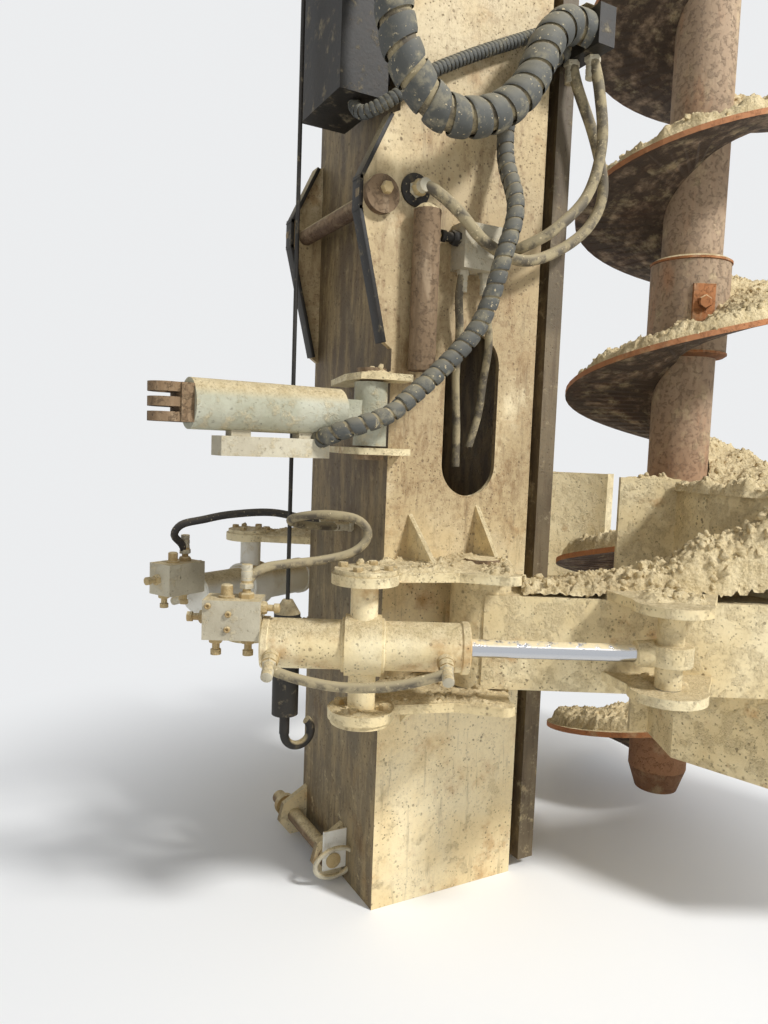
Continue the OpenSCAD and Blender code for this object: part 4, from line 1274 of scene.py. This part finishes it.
@dataclass
class MastTrim:
    """Strips, bolts, fittings and soil on the mast, its lugs and its foot."""

    side_y: float = -265.0
    prop_top: float = 1545.0
    loop_end: Point = (-196, 2052)
    block: Point = (-70.5, -300, 1935)
    foot_x: float = -295.0
    foot_z: float = 75.0

    def build(self) -> None:
        """Build every piece of trim."""
        strips = Piece("lug_strips", Finish.DARK, Body.MAST)
        edge = [(-280, 2235), (-364, 2059), (-364, 1979), (-280, 1640)]
        for y in (self.side_y, 225):
            for (x0, z0), (x1, z1) in zip(edge, edge[1:]):
                way = mm(x1 - x0, 0, z1 - z0)
                at = Matrix.Translation(mm(x0, y + 20, z0)) @ Matrix.Rotation(math.atan2(way.x, way.z), 4, "Y")
                strips.block(at, (-11, -22, -6), (1, 22, way.length / MM + 6), 2)
        strips.deliver()
        brass = Piece("mast_bolts", Finish.BRASS, Body.MAST)
        brass.hex_head(facing_frame(mm(-296, self.side_y - 21, 2034), (0, -1, 0)), 30, 16)
        for x, z in ((-54, 1960), (38, 1870)):
            brass.lathe(facing_frame(mm(x, -335, z), (0, -1, 0)), [(-2, 9), (6, 9), (8, 6), (8, 4), (4, 3)], 14)
        loop_x, loop_z = self.loop_end
        brass.hex_head(facing_frame(mm(loop_x, -285, loop_z), (0, -1, 0)), 40, 20)
        brass.deliver()
        black = Piece("mast_fittings", Finish.BLACK, Body.MAST)
        at = facing_frame(mm(loop_x, self.side_y + 2, loop_z), (0, -1, 0))
        black.lathe(at, [(0, 44), (9, 44), (11, 40), (12, 20)], 28)
        at = facing_frame(mm(*self.block), (-1, 0, 0))
        black.hex_head(at, 38, 22)
        black.lathe(at, [(20, 13), (44, 13), (45, 16), (58, 16), (60, 8)], 18)
        black.deliver()
        pipe = Piece("block_pipe", Finish.BRASS, Body.MAST)
        pipe.tube(Route([(-126, -300, 1935), (-150, -300, 1930), (-162, -300, 1905), (-160, -296, 1860),
                         (-150, -285, 1830), (-148, -262, 1820)], (-1, 0, 0), (0, 1, 0)), lambda s: 0.008, 12)
        pipe.deliver()
        soil = Piece("mast_soil", Finish.CRUST, Body.MAST)
        for spot, long, wide, high, clods in (
                ((-316, -290, self.prop_top), 42, 42, 13, 10), ((268, -345, 2610), 16, 60, 10, 8)):
            soil.mound(turned_frame(spot, 0), long, wide, high, clods)
        soil.deliver(sharp=60)
        self.foot()

    def foot(self) -> None:
        """Build the pin's handle at the foot, a plate and a bent bar ring, and the collars on the pin."""
        x, z = self.foot_x, self.foot_z
        plate = Piece("foot_plate_handle", Finish.WHITE, Body.MAST)
        plate.block(turned_frame((x, -88, z), 0), (-34, -4, -30), (44, 4, 96), 2)
        plate.deliver()
        ring = Piece("foot_ring", Finish.VALVE, Body.MAST)
        points = [(x + 66 * math.cos(a), -106 - 10 * math.sin(a), z + 50 * math.sin(a))
                  for a in (math.radians(30 * k) for k in range(-3, 10))]
        ring.tube(Route(points, (1, 0, 0), (1, 0, 0)), lambda s: 0.0075, 12)
        ring.deliver()
        collar = Piece("foot_pin_collar", Finish.BRASS, Body.MAST)
        collar.lathe(facing_frame(mm(x, 300, z), (0, 1, 0)), [(0, 25), (1, 38), (24, 38), (25, 25)], 28)
        collar.lathe(facing_frame(mm(x, -84, z), (0, -1, 0)), [(0, 24), (12, 24), (14, 18)], 24)
        collar.deliver()


class AugerTrim:
    """The welds and bolted plate of the auger's coupling sleeve."""

    def build(self) -> None:
        """Build the welds, the plate and its bolt."""
        welds = Piece("sleeve_welds", Finish.RUSTY, Body.AUGER)
        for z in (1752, 2098):
            welds.lathe(turned_frame((AUGER_X, 0, z), 0),
                        [(-16, 111), (-12, 140), (-4, 152), (4, 152), (12, 140), (16, 111), (-16, 111)], 48)
        at = turned_frame((AUGER_X, 0, 1930), 242) @ facing_frame(mm(146, 0, 0), (1, 0, 0))
        welds.block(at, (-70, -42, -8), (70, 42, 6), 3)
        welds.hex_head(at @ Matrix.Translation(mm(0, 0, 5)), 46, 18)
        welds.deliver()


NODE_FINISH = {
    Finish.SOILED: ["bracket_top_near", "bracket_top_far", "bracket_low_near", "bracket_low_far", "foot_plate",
                    "prop_lugs", "arm_near", "arm_far", "shell_near", "shell_far",
                    "skirt_near", "skirt_far"],
    Finish.PIN: ["corner_tube", "hinge_pin_near", "hinge_pin_far", "lift_pin", "prop_pin", "foot_pin", "prop_fork"],
    Finish.DARK: ["hose_console", "hose_clamp", "hook_rope", "hook_weight", "hook"],
    Finish.GROOVE: ["rail_web"],
    Finish.RAIL: ["rail_near", "rail_far"],
    Finish.VALVE: ["prop_valve", "junction_block", "valve_near", "valve_far"],
    Finish.CHROME: ["rod_near", "rod_far"],
    Finish.BARREL: ["barrel_near"],
    Finish.WHITE: ["barrel_far"],
    Finish.PROP: ["prop_barrel"],
    Finish.AUGER: ["auger_stem", "auger_sleeve", "auger_flight", "auger_tip"],
    Finish.RUBBER: ["cylinder_hose_near", "cylinder_hose_far"],
}


def dress_frame(frame: dict) -> None:
    """Give every node of the frame its finish.

    Args:
        frame: The loaded frame.
    """
    by_node = {node: finish for finish, nodes in NODE_FINISH.items() for node in nodes}
    for name, node in frame["nodes"].items():
        finish = by_node.get(name, Finish.MAST)
        node.data.materials.clear()
        node.data.materials.append(finish.material)


def main() -> None:
    """Build the whole scene in order."""
    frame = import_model()
    for finish in Finish:
        finish.value[1].build()
    Studio().build()
    dress_frame(frame)
    Hoses().build()
    AugerSoil().build()
    for side in Side:
        GuideSoil(side).build()
        BracketSoil(side).build()
        CylinderTrim(side).build()
    MastTrim().build()
    AugerTrim().build()
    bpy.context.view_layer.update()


if __name__ == "__main__":
    logging.basicConfig(level=logging.INFO, format="%(name)s: %(message)s")
    main()
